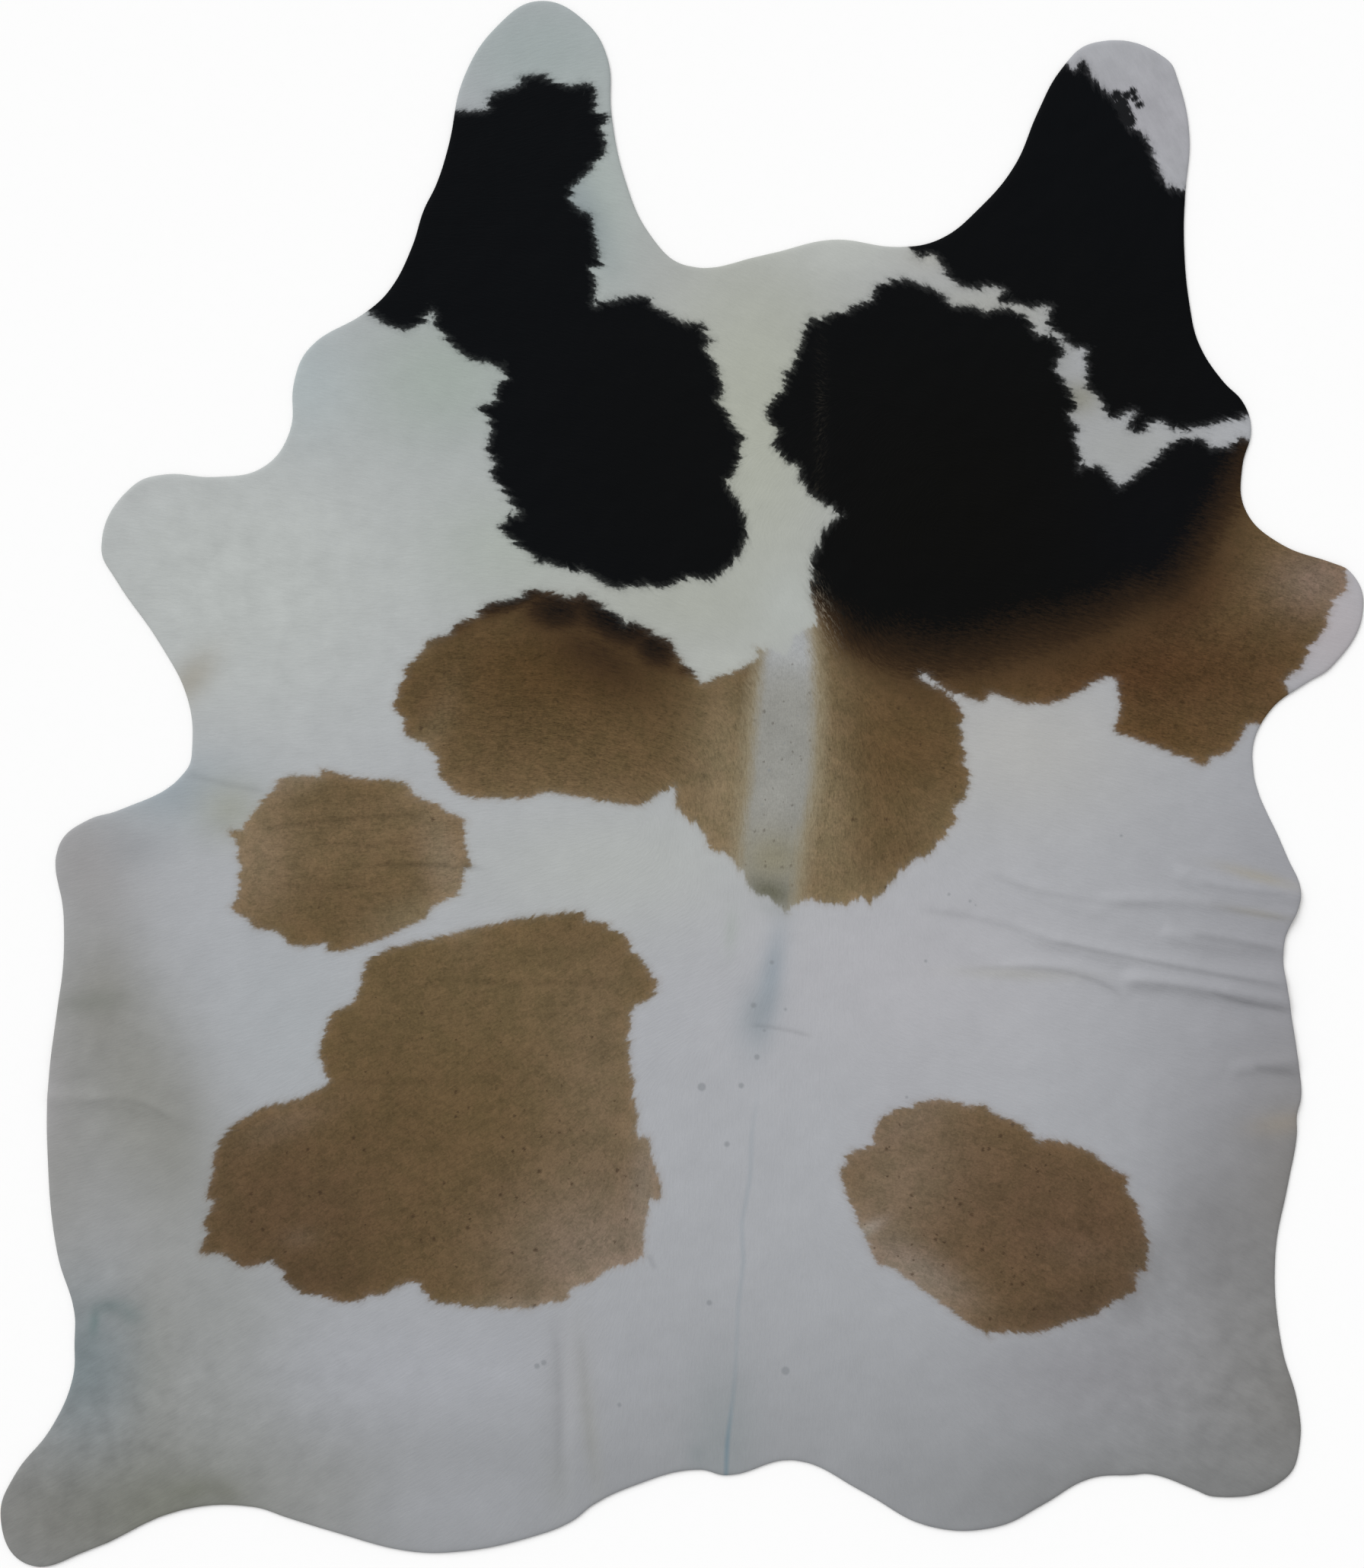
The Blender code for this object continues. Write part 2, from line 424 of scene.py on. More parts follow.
# Outlines of the patches as they lie. They run on past the cut edge.
PATCHES = {
    "left shoulder": (
        (-333, 989), (-285, 992), (-282, 1011), (-241, 1025), (-239, 1038), (-201, 1041),
        (-168, 1026), (-139, 1029), (-124, 1005), (-125, 989), (-108, 980), (-115, 966),
        (-117, 923), (-162, 870), (-150, 843), (-132, 834), (-127, 795), (-117, 767),
        (-130, 756), (-126, 731), (-130, 705), (-114, 708), (-51, 714), (-40, 701), (7, 678),
        (30, 676), (35, 661), (49, 650), (37, 642), (49, 617), (61, 579), (54, 568), (70, 543),
        (73, 528), (89, 504), (77, 457), (68, 440), (94, 387), (86, 338), (64, 316), (45, 301),
        (11, 303), (-30, 288), (-66, 291), (-101, 288), (-148, 312), (-169, 313), (-195, 324),
        (-216, 329), (-234, 345), (-265, 373), (-255, 385), (-253, 395), (-244, 399),
        (-276, 448), (-274, 470), (-284, 485), (-284, 534), (-295, 553), (-278, 562),
        (-269, 586), (-265, 609), (-314, 625), (-356, 665), (-366, 694), (-375, 686),
        (-410, 666), (-463, 692), (-510, 710), (-465, 816), (-409, 928), (-376, 995),
    ),
    "saddle": (
        (318, 743), (379, 722), (400, 704), (430, 701), (447, 692), (461, 699), (501, 691),
        (520, 660), (541, 662), (548, 652), (561, 633), (552, 610), (580, 559), (569, 540),
        (582, 521), (580, 504), (585, 479), (582, 463), (599, 467), (616, 465), (642, 437),
        (657, 446), (731, 505), (766, 505), (777, 493), (808, 498), (819, 509), (832, 505),
        (888, 492), (888, 425), (932, 380), (999, 347), (975, 313), (977, 291), (949, 260),
        (949, 237), (916, 192), (907, 170), (890, 159), (891, 130), (910, 95), (871, 73),
        (851, 87), (831, 85), (805, 48), (779, 40), (766, 28), (732, 42), (659, 68), (638, 79),
        (644, 111), (638, 153), (605, 148), (557, 122), (503, 119), (455, 133), (438, 122),
        (385, 141), (359, 161), (349, 154), (405, 116), (413, 40), (421, 22), (418, -17),
        (399, -34), (399, -56), (364, -103), (338, -113), (284, -169), (263, -167), (231, -176),
        (191, -168), (173, -176), (130, -168), (130, -78), (136, 34), (161, 201), (197, 235),
        (189, 282), (193, 303), (191, 324), (206, 371), (231, 395), (227, 399), (176, 439),
        (170, 465), (135, 495), (138, 517), (126, 538), (129, 559), (150, 584), (150, 605),
        (168, 617), (184, 683), (201, 683), (253, 703), (278, 711), (281, 727),
    ),
    "left of the spine": (
        (159, -174), (143, -179), (123, -165), (104, -157), (75, -110), (38, -92), (34, -73),
        (-7, -37), (-9, -4), (-34, -13), (-72, -31), (-191, -13), (-230, -22), (-268, -20),
        (-318, -18), (-352, 8), (-360, 38), (-380, 59), (-405, 72), (-409, 92), (-420, 115),
        (-409, 162), (-383, 191), (-373, 211), (-341, 221), (-332, 237), (-303, 247),
        (-283, 264), (-243, 273), (-212, 286), (-165, 275), (-140, 277), (-97, 249), (-83, 235),
        (-72, 239), (-41, 221), (-16, 209), (-8, 191), (25, 155), (29, 149), (44, 153),
        (106, 179), (111, 200), (167, 168), (172, 34),
    ),
    "right foreleg": (
        (570, 1052), (591, 1061), (605, 1036), (637, 1004), (659, 966), (684, 948), (716, 878),
        (787, 855), (793, 704), (832, 626), (888, 559), (877, 534), (833, 540), (731, 519),
        (703, 533), (669, 517), (654, 523), (666, 547), (626, 538), (609, 570), (594, 587),
        (594, 636), (575, 641), (537, 676), (542, 700), (511, 701), (474, 709), (466, 726),
        (408, 732), (369, 775), (345, 775), (329, 827), (396, 855), (452, 928), (496, 1040),
        (541, 1084),
    ),
    "left flank": (
        (-667, -69), (-644, -67), (-632, -47), (-584, 8), (-532, 11), (-529, 22), (-482, 10),
        (-407, 2), (-402, -12), (-361, -29), (-347, -42), (-316, -56), (-322, -65),
        (-311, -117), (-320, -124), (-328, -158), (-370, -184), (-376, -197), (-400, -208),
        (-418, -217), (-440, -227), (-468, -237), (-501, -246), (-520, -244), (-525, -236),
        (-571, -237), (-593, -218), (-628, -210), (-634, -201), (-661, -184), (-652, -165),
        (-653, -94),
    ),
    "left haunch": (
        (-163, -187), (-141, -198), (-96, -215), (-48, -275), (-36, -290), (-51, -318),
        (-74, -330), (-76, -368), (-78, -402), (-66, -487), (-68, -512), (-51, -517),
        (-44, -542), (-31, -601), (-48, -617), (-58, -676), (-61, -697), (-113, -714),
        (-126, -729), (-161, -739), (-169, -757), (-203, -764), (-238, -771), (-333, -764),
        (-368, -759), (-396, -731), (-435, -749), (-461, -751), (-483, -761), (-568, -741),
        (-600, -704), (-643, -709), (-678, -689), (-708, -689), (-700, -666), (-698, -637),
        (-685, -612), (-698, -607), (-690, -577), (-685, -537), (-668, -510), (-634, -484),
        (-592, -470), (-548, -455), (-520, -437), (-533, -408), (-528, -375), (-513, -338),
        (-481, -318), (-466, -270), (-443, -247), (-416, -238), (-376, -229), (-273, -205),
    ),
    "right haunch": (
        (372, -464), (423, -474), (442, -472), (456, -483), (503, -503), (523, -523),
        (547, -524), (601, -541), (632, -567), (654, -577), (654, -596), (665, -614),
        (684, -668), (681, -712), (666, -712), (669, -741), (631, -761), (617, -776), (553, -794),
        (529, -805), (459, -805), (442, -806), (311, -712), (288, -704), (245, -606),
        (233, -567), (243, -559), (241, -542), (274, -533), (297, -489),
    ),
}
CURVE_STEPS = 5  # from one point of an outline to the next
CLEAR_OF_PATCH = 60 * MM  # how far from a patch its distance is told

# Tones as (red, green, blue) of 255 on the finished rug: one ground tone for the pale
# hair, and soft tints over it. A tint is told by its centre, its half length and half
# width, how many degrees it is turned, and how strong it is in its middle.
LIGHT_ON_HAIR = 1.04  # how bright a white sheet looks where the hide lies
Tint = namedtuple("Tint", "centre half_length half_width turn tone strength")
PALE_TONE = (167, 169, 173)
PALE_TINTS = {
    # The broad tints make the pale hair darker towards the bottom and the right and lighter at the
    # upper left: partly the hide's own tone, partly painted light and shade.
    "rump": Tint((0, -1130), 1100, 340, 0, (144, 146, 149), 1.0),
    "shoulders": Tint((-640, 310), 410, 300, 0, (180, 184, 182), 1.0),
    "left shoulder, green": Tint((-345, 600), 150, 120, 0, (159, 168, 162), 0.95),
    "left shoulder, inner": Tint((-250, 350), 130, 100, 0, (166, 173, 166), 0.8),
    "root of the left foreleg": Tint((-560, 600), 80, 100, 0, (168, 178, 180), 0.7),
    "left foreleg": Tint((-210, 1080), 170, 110, 0, (158, 167, 167), 1.0),
    "inside of the left foreleg": Tint((-130, 850), 180, 80, 90, (164, 174, 171), 0.95),
    "neck": Tint((100, 530), 380, 200, 85, (169, 172, 161), 1.0),
    "edge of the neck": Tint((240, 790), 100, 50, 0, (181, 184, 180), 0.9),
    "neck, left rim": Tint((-145, 840), 90, 30, 115, (134, 144, 148), 0.7),
    "neck, right rim": Tint((370, 776), 50, 24, 0, (174, 174, 168), 0.8),
    "neck, beside the foreleg": Tint((450, 690), 150, 70, 0, (162, 163, 158), 0.9),
    "withers": Tint((0, 270), 220, 80, 0, (167, 170, 162), 0.9),
    "withers, foot": Tint((62, 165), 60, 40, 0, (177, 180, 174), 0.8),
    "head of the stripe": Tint((158, 260), 46, 60, 0, (174, 178, 174), 0.8),
    "right foreleg": Tint((690, 980), 170, 110, 0, (163, 163, 168), 1.0),
    "right shoulder, pale": Tint((650, 490), 130, 70, 0, (161, 163, 162), 0.9),
    "right shoulder, smudge": Tint((582, 568), 38, 28, 0, (132, 131, 116), 0.75),
    "right shoulder, between the patches": Tint((556, 640), 60, 28, 80, (148, 150, 149), 0.7),
    "right shoulder, rim": Tint((955, 225), 100, 110, 0, (177, 172, 175), 1.0),
    "behind the saddle": Tint((490, 60), 200, 140, 0, (174, 174, 172), 1.0),
    "loin, left": Tint((-80, -120), 280, 110, 0, (174, 177, 175), 1.0),
    "loin, right": Tint((340, -270), 300, 170, 0, (173, 173, 177), 0.95),
    "left flank": Tint((-560, -350), 160, 160, 0, (166, 170, 173), 0.8),
    "left flank, blue": Tint((-750, -8), 110, 58, 0, (151, 160, 166), 0.9),
    "left flank, beige": Tint((-720, 155), 50, 26, 50, (152, 146, 132), 0.6),
    "left flank, behind the blue": Tint((-812, -96), 62, 36, 0, (149, 152, 156), 0.8),
    "left flank, beside the patch": Tint((-662, -38), 50, 46, 0, (155, 157, 147), 0.8),
    "left flank, corner": Tint((-878, -130), 100, 62, 110, (153, 151, 152), 0.85),
    "right flank": Tint((970, -380), 440, 290, 85, (146, 146, 151), 1.0),
    "right haunch, outer": Tint((785, -670), 150, 80, 90, (131, 131, 134), 0.9),
    "right flank, lower rim": Tint((900, -580), 140, 70, 90, (126, 123, 121), 0.8),
    "right haunch, shaded rim": Tint((672, -738), 90, 36, 58, (127, 127, 129), 0.75),
    "right haunch, below": Tint((620, -870), 200, 90, 0, (142, 142, 146), 0.9),
    "right shank": Tint((930, -900), 430, 210, 80, (123, 122, 120), 1.0),
    "left flank rim": Tint((-930, -480), 340, 130, 90, (143, 143, 141), 1.0),
    "left flank rim, inner": Tint((-805, -445), 140, 60, 90, (138, 138, 132), 0.7),
    "left flank rim, pale": Tint((-938, -450), 100, 34, 90, (156, 155, 156), 0.8),
    "left flank rim, dark": Tint((-850, -320), 100, 50, 90, (136, 135, 130), 0.8),
    "left haunch rim": Tint((-750, -520), 170, 80, 100, (136, 136, 131), 0.85),
    "above the left shank": Tint((-776, -850), 160, 58, 90, (140, 139, 133), 0.75),
    "left shank": Tint((-920, -1080), 240, 150, 0, (126, 126, 123), 1.0),
    "left shank, olive": Tint((-730, -1060), 150, 88, 0, (114, 115, 105), 0.95),
    "left haunch, outside its foot": Tint((-670, -850), 230, 115, 90, (142, 144, 141), 0.75),
    "left haunch, behind": Tint((-350, -860), 250, 80, 0, (164, 166, 171), 0.9),
    # Painted shade along the two folds behind the rump and painted light between them, as soft
    # bands; the second fold is also yellowish.
    "behind the rump, painted shade of the fold": Tint((-187, -930), 130, 13, 90, (146, 148, 152), 0.5),
    "behind the rump, painted light between the folds": Tint((-165, -890), 150, 9, 90, (167, 169, 173), 0.5),
    "behind the rump, painted shade of the yellowish fold": Tint((-136, -940), 110, 12, 97, (149, 150, 146), 0.55),
    "behind the rump, foot of the folds": Tint((-182, -1030), 50, 22, 90, (142, 144, 142), 0.5),
    "foot of the spine, smudge": Tint((22, -985), 18, 13, 90, (130, 137, 140), 0.5),
    "rump, left": Tint((-160, -870), 40, 100, 0, (157, 157, 158), 0.4),
    "right shank, lower rim": Tint((775, -1037), 165, 48, 5, (119, 119, 116), 0.85),
    "left shank, inner rim": Tint((-528, -1055), 130, 90, 0, (140, 141, 139), 0.7),
    "rump, left rim": Tint((-310, -1060), 150, 60, 0, (158, 160, 164), 0.8),
    "rump, right": Tint((660, -1050), 280, 100, 0, (126, 127, 128), 0.9),
    "foot of the spine": Tint((60, -970), 50, 110, 0, (137, 143, 145), 0.6),
    "right of the spine": Tint((330, -560), 60, 120, 0, (158, 157, 162), 0.4),
    "left flank rim, shadow": Tint((-862, -320), 48, 18, 6, (124, 126, 120), 0.6),
    "left shank, blue": Tint((-884, -850), 90, 116, 0, (117, 127, 130), 0.9),
    "left shank, arch, left": Tint((-863, -790), 20, 7, 84, (104, 122, 122), 0.7),
    "left shank, arch, top": Tint((-842, -767), 22, 10, 8, (108, 121, 122), 0.65),
    "left shank, arch, right": Tint((-812, -778), 22, 15, -28, (110, 121, 121), 0.6),
    "left shank, olive edge": Tint((-718, -1036), 34, 16, 10, (106, 108, 98), 0.55),
    "left shank, olive edge, inner": Tint((-668, -1042), 26, 18, -20, (108, 109, 99), 0.5),
    "spine, grey blue": Tint((131, -285), 78, 17, 80, (143, 152, 160), 0.8),
    "spine, darker": Tint((110, -340), 50, 28, 78, (138, 146, 152), 0.6),
    "spine, left smudge": Tint((72, -215), 34, 10, 84, (160, 166, 162), 0.6),
    "foot of the stripe": Tint((130, -184), 26, 12, -20, (148, 152, 152), 0.4),
    "belly, yellowish rim": Tint((845, -135), 56, 8, -15, (158, 152, 136), 0.6),
    "belly, yellowish fold": Tint((846, -190), 48, 6, -10, (157, 153, 141), 0.4),
    "belly, yellowish inner": Tint((490, -279), 86, 9, -2, (164, 163, 155), 0.4),
    "right flank, beige rim": Tint((884, -498), 50, 18, 8, (147, 139, 128), 0.6),
}

# The brown hair in the same way.
BROWN_TONE = (96, 79, 54)
BROWN_TINTS = {
    "left flank": Tint((-490, -70), 200, 100, 0, (110, 93, 68), 0.8),
    "left flank, rim": Tint((-630, -100), 60, 100, 0, (126, 110, 88), 0.8),
    "left flank, inner rim": Tint((-345, -122), 100, 34, 104, (128, 113, 93), 0.9),
    "left flank, lower rim": Tint((-400, -194), 70, 28, 20, (120, 106, 83), 0.8),
    "left flank, upper rim": Tint((-570, 8), 70, 24, 20, (122, 109, 90), 0.6),
    "loin": Tint((-100, -40), 240, 50, 0, (111, 95, 71), 0.7),
    "left of the spine": Tint((-180, 170), 210, 92, 0, (77, 59, 35), 0.95),
    "left of the spine, outer rim": Tint((-380, 52), 80, 24, 66, (114, 100, 77), 0.75),
    "left of the spine, upper rim": Tint((-375, 212), 30, 16, 40, (104, 91, 72), 0.6),
    "left of the spine, outer side": Tint((-378, 125), 60, 34, 90, (92, 74, 50), 0.6),
    "beside the stripe, left": Tint((74, -4), 160, 62, 90, (126, 112, 87), 1.0),
    "beside the stripe, right": Tint((203, -20), 210, 50, 90, (124, 110, 85), 1.0),
    "saddle, foot": Tint((225, -160), 110, 45, 0, (117, 102, 77), 0.8),
    "saddle, lobe": Tint((330, 60), 90, 90, 0, (90, 71, 46), 0.8),
    "saddle, lobe's rim": Tint((400, -70), 70, 60, 0, (108, 92, 67), 0.8),
    "left haunch, top": Tint((-260, -310), 230, 110, 0, (105, 89, 63), 0.7),
    "left haunch, inner side": Tint((-110, -460), 190, 100, 90, (113, 97, 75), 0.9),
    "left haunch, inner foot": Tint((-110, -700), 150, 110, 0, (125, 111, 96), 0.95),
    "left haunch, outer foot": Tint((-580, -620), 190, 110, 0, (88, 70, 51), 0.85),
    "right haunch": Tint((452, -630), 220, 170, 0, (100, 81, 61), 0.9),
    "right haunch, inner": Tint((305, -605), 165, 85, 60, (116, 101, 83), 0.85),
    "right haunch, outer": Tint((600, -650), 140, 110, 0, (90, 71, 53), 0.85),
    "saddle, outer": Tint((680, 165), 270, 90, 0, (75, 53, 32), 0.95),
    "saddle, under the black": Tint((745, 272), 110, 48, 42, (70, 49, 31), 0.8),
    "saddle, foot of the outer lobe": Tint((700, 70), 100, 40, 0, (84, 62, 37), 0.7),
    "saddle, lower rim": Tint((440, 130), 80, 30, 0, (82, 63, 39), 0.6),
    "shoulder, tip": Tint((935, 298), 66, 50, 0, (122, 105, 92), 0.9),
    "left haunch, outer lobe": Tint((-590, -500), 80, 26, 22, (116, 99, 82), 0.45),
    "left haunch, pale spot": Tint((-563, -668), 28, 16, 10, (118, 102, 86), 0.3),
    "left haunch, inner rim": Tint((-56, -590), 90, 22, 86, (130, 118, 106), 0.6),
    "left haunch, foot, middle": Tint((-240, -766), 60, 16, 0, (124, 113, 97), 0.6),
    "left haunch, foot, outer": Tint((-570, -728), 150, 44, -6, (80, 64, 46), 0.85),
    "left haunch, outer rim": Tint((-676, -580), 80, 28, 82, (87, 71, 51), 0.8),
    "left haunch, inner corner": Tint((-55, -318), 36, 24, 0, (102, 86, 61), 0.7),
    "right haunch, notch": Tint((272, -655), 26, 9, 30, (146, 138, 128), 0.85),
    "right haunch, pinkish": Tint((590, -690), 60, 26, -10, (102, 84, 68), 0.4),
    "right haunch, lower left": Tint((345, -716), 95, 34, -34, (130, 118, 106), 0.8),
    "right haunch, foot": Tint((580, -772), 140, 36, 16, (80, 65, 49), 0.9),
    "right haunch, upper rim": Tint((325, -500), 90, 24, 30, (122, 107, 93), 0.4),
    "right haunch, outer rim": Tint((672, -700), 60, 26, 80, (84, 70, 54), 0.8),
}

# Where smoke of black hair lies over the brown: centre, half length and half width,
# turn and strength.
SMOKY_HAIR = (
    ((-100, 242), 115, 46, -27, 0.77), ((-40, 202), 56, 42, -40, 0.71),
    ((26, 172), 70, 20, 8, 0.55), ((-120, 190), 130, 62, -30, 0.48),
    ((-245, 272), 110, 24, 18, 0.67), ((-330, 232), 70, 18, 24, 0.46),
    ((-182, 256), 70, 44, -4, 0.71),
)

# The coloured hair is black above this line, and turns brown across it. The first
# points pass between the left shoulder and the patch below it, the next are on the
# saddle, and the last close the line outside the hide. The fade is told by x, as how far
# it reaches into the brown hair and into the black.
BLACK_LINE = (
    (-700, 335), (-330, 335), (-234, 318), (-190, 303), (-148, 295), (-66, 265), (0, 255),
    (60, 262), (120, 330), (190, 268), (211, 243), (239, 203), (284, 180), (340, 164),
    (396, 164), (452, 174), (508, 193), (563, 206), (619, 226), (675, 256), (731, 275),
    (765, 319), (787, 362), (812, 408), (832, 458), (850, 505), (1100, 700), (1100, 1300),
    (-900, 1300),
)
BLACK_FADE = (
    (60, 12, 12), (120, 18, 20), (190, 30, 30), (240, 50, 58), (320, 72, 115), (500, 78, 118),
    (700, 70, 86), (850, 66, 66),
)
RUSSET_TONE = (63, 46, 29)  # where black turns brown
BLACK_TONE = (7, 9, 12)
BLACK_TINTS = {
    "saddle": Tint((430, 400), 420, 330, 0, (8, 8, 7), 1.0),
    "shoulder": Tint((700, 380), 130, 160, 0, (8, 9, 12), 0.8),
    "left shoulder, inner": Tint((0, 480), 160, 200, 0, (8, 9, 10), 0.8),
}
FLECK_TONE = (56, 42, 30)
BROWN_MOTTLE = ((0.98, 0.99, 0.97, 1.0), (1.05, 1.02, 1.03, 1.0))  # olive, reddish

# The pale stripe along the spine where the coat crosses from one side to the other,
# as its left and right edge at each height.
SPINE_STRIPE = (
    (330, 122, 172), (194, 118, 194), (100, 105, 198), (0, 98, 193), (-67, 88, 180),
    (-126, 84, 171), (-165, 90, 166),
)
STRIPE_TONE = (144, 143, 137)
STRIPE_TINTS = {
    "head": Tint((158, 205), 70, 50, 0, (166, 169, 171), 1.0),
    "middle": Tint((150, 60), 120, 30, 88, (147, 147, 142), 0.8),
    "towards the foot": Tint((135, -110), 60, 42, 0, (133, 128, 108), 0.85),
    "foot": Tint((129, -160), 40, 22, -14, (104, 103, 88), 1.0),
}
STRIPE_FRINGE_TONE = (139, 129, 107)
FRINGE_WIDTHS = (-28 * MM, 6 * MM)  # from outside to inside the stripe's edge
STRIPE_WIDTHS = (-8 * MM, 17 * MM)

# The faint blue line that runs down the spine, as x and strength by height.
SPINE_LINE = (
    (-1030, 64, 0.8), (-968, 66, 0.9), (-907, 74, 0.35), (-846, 79, 0.2), (-768, 82, 0.2),
    (-701, 91, 0.3), (-645, 88, 0.25), (-574, 100, 0.25), (-518, 102, 0.2), (-434, 115, 0.0),
)
SPINE_LINE_TONE = (96, 124, 138)
SPINE_LINE_WIDTH = 6.5 * MM

# Fine wrinkles, too shallow for the leather to share: grooves in the hair alone, along which the
# hair's colour is also darkened as painted shade.
WRINKLES = {
    "left flank patch, upper": Crease((-640, -70), (-510, -54), (-364, -44), 4, -0.5),
    "left flank patch, middle": Crease((-560, -84), (-470, -90), (-380, -84), 4, -0.4),
    "left flank patch, lower": Crease((-470, -119), (-376, -119), (-275, -127), 4, -0.6),
    "left flank patch, lowest": Crease((-600, -146), (-520, -152), (-430, -146), 4, -0.4),
    "left flank, corner": Crease((-738, 18), (-680, 2), (-590, -16), 5, -0.3),
    "left flank, folded line": Crease((-885, -474), (-812, -466), (-745, -498), 5, -0.3),
    "behind the rump, left": Crease((-190, -790), (-180, -900), (-186, -1050), 7, -0.22),
    "behind the rump, right": Crease((-146, -800), (-142, -900), (-126, -1050), 7, -0.16),
    "spine, across": Crease((96, -356), (140, -359), (200, -374), 3, -0.4),
    "haunch": Crease((-50, -690), (-44, -702), (-38, -716), 4, -0.4),
    "belly, long, inner end": Crease((340, -186), (430, -198), (560, -234), 6, -0.25),
    "belly, long line": Crease((500, -222), (690, -262), (900, -300), 4, -0.5),
    "belly, inner line": Crease((395, -276), (560, -276), (655, -322), 4, -0.35),
    "belly, deepest line": Crease((770, -303), (830, -322), (900, -333), 4, -0.5),
    "belly, deepest line, inner": Crease((645, -294), (710, -296), (800, -314), 5, -0.22),
    "belly, rim line": Crease((735, -222), (810, -232), (895, -250), 6, -0.5),
    "belly, upper line": Crease((745, -142), (825, -158), (912, -162), 6, -0.35),
    "belly, outer line": Crease((790, -184), (845, -192), (900, -202), 3, -0.3),
    "belly, inner upper line": Crease((440, -126), (560, -166), (735, -178), 6, -0.25),
    "right flank, short": Crease((835, -416), (872, -422), (915, -428), 6, -0.4),
    "left haunch, across": Crease((-353, -288), (-215, -294), (-84, -290), 5, -0.35),
    "left haunch, across, outer": Crease((-515, -432), (-430, -439), (-345, -434), 5, -0.35),
}
WRINKLE_REACH = 10 * MM

# Small dark dots: (x, y) and radius.
DOTS = (
    (132, -262, 5), (105, -325, 6), (152, -331, 4), (121, -362, 4), (110, -401, 6),
    (87, -443, 6), (29, -445, 8), (66, -529, 6), (40, -762, 6), (152, -862, 8),
    (128, 20, 4), (150, 60, 3), (118, -30, 3), (170, 100, 3), (330, -460, 4),
    (392, -162, 4), (423, -172, 4), (431, -178, 3), (358, -260, 4), (645, -76, 4),
    (-213, -855, 6), (-203, -850, 6), (-92, -912, 5),
)
DOT_TONE = (120, 124, 128)

# Where the brown hair is flecked dark: centre, reach and strength.
FLECKED = (
    ((-200, -530), 130, 0.95), ((-330, -670), 120, 0.8), ((-520, -600), 110, 0.5),
    ((430, -640), 190, 1.0), ((-380, -400), 130, 0.3), ((-200, 100), 200, 0.12),
    ((300, 0), 160, 0.25),
)
FLECK_CLUSTER = 55 * MM
CLUSTER_RANGE = (0.38, 0.68)
FLECK_SIZE, FLECK_SPREAD, FLECK_RAGGED = 0.11, 0.2, 0.45  # of the cell that it lies in
FLECK_FADE = (1.0, 0.2)  # of its size, from where it starts to where it is full
# Flecks of the brown hair and of the stripe: cells to the metre, the share of the cells
# that has one, and strength.
FLECKS = (60.0, 0.75, 0.65)
STRIPE_FLECKS = (75.0, 0.18, 0.4)

# Where the combing of the brown hair shows: centre, reach and strength.
WELL_COMBED = (
    ((-190, 120), 260, 1.0), ((700, 170), 320, 0.9), ((200, 0), 150, 0.7),
    ((-480, -90), 120, 0.4),
)

# Splashes of black beside the patch of the right foreleg: (x, y) and radius.
SPLASHES = (
    (639, 1010, 10), (646, 1000, 11), (653, 1011, 7), (662, 1016, 7), (666, 1008, 6),
    (672, 998, 6), (646, 987, 15), (654, 975, 13), (640, 995, 9),
)

# Where the pale hair is cloudy: centre, reach and strength.
CLOUDY = (
    ((-890, -960), 260, 1.0), ((900, -900), 300, 0.8), ((690, 960), 150, 0.6),
    ((-640, 330), 260, 0.3), ((-880, -400), 160, 0.4), ((-620, -960), 200, 0.5),
)
DAPPLE = 34 * MM

# Where long pale hairs lie over the dark: centre, half length and half width, turn and
# strength.
LONG_PALE_HAIR = (
    ((202, 252), 58, 16, 112, 0.58), ((194, 400), 70, 8, 84, 0.06),
    ((204, 545), 100, 8, 90, 0.05),
)
LONG_HAIR_TONE = (150, 139, 121)

# The axis along which the hair lies: (x, y) and degrees turned from straight back
# towards +X. Between the places it swings round evenly.
HAIR_LAY = (
    (-219, 961, 102), (-107, 816, 68), (72, 615, 62), (206, 425, 142), (188, 300, 26),
    (619, 648, 78), (653, 973, 28), (429, 704, 62), (720, 481, 72), (429, 145, 82),
    (-555, -56, 96), (-51, -280, 114), (-331, -749, 122), (619, -704, 55), (-353, 89, 96),
    (-18, 145, 74), (-622, -615, 120), (340, -548, 76), (110, -500, 0), (90, -850, 0),
    (140, 50, 4), (140, -120, 2), (-600, 400, 80), (800, -200, 74), (-850, -400, 105),
)
# How long and how wide the streaks of the hairs, of the locks and of the tufts are.
FINE_HAIR = (7 * MM, 0.9 * MM)
HAIR_LOCK = (20 * MM, 3.2 * MM)
HAIR_TUFT = (30 * MM, 9 * MM)
LAY_REACH = 45 * MM  # within this of its place, a direction is nearly pure
LAY_FALL = 1.6  # how fast its pull falls away beyond
LAY_STEPS = 12  # the half turn is split into so many combed directions
LAY_APART = 17.3  # so that no two directions have the same streaks
GRAIN_SCALE, CLOUD_SCALE, CURL_SCALE = 420.0, 11.0, 140.0  # so many to the metre
CURL_TWIST = 1.2

# The teeth where a patch ends: clumps of hair, tufts in them, and the hairs of a tuft.
# Each is told by its width and its length on black hair.
CLUMP = (18 * MM, 17 * MM)
TUFT = (16 * MM, 7 * MM)
TOOTH = (5 * MM, 10 * MM)
HAIR_FRINGE = 5.5 * MM
BROWN_TEETH = 0.7  # brown hair is shorter, and so are its teeth
TOOTH_REACH = 24 * MM  # from the edge of a patch
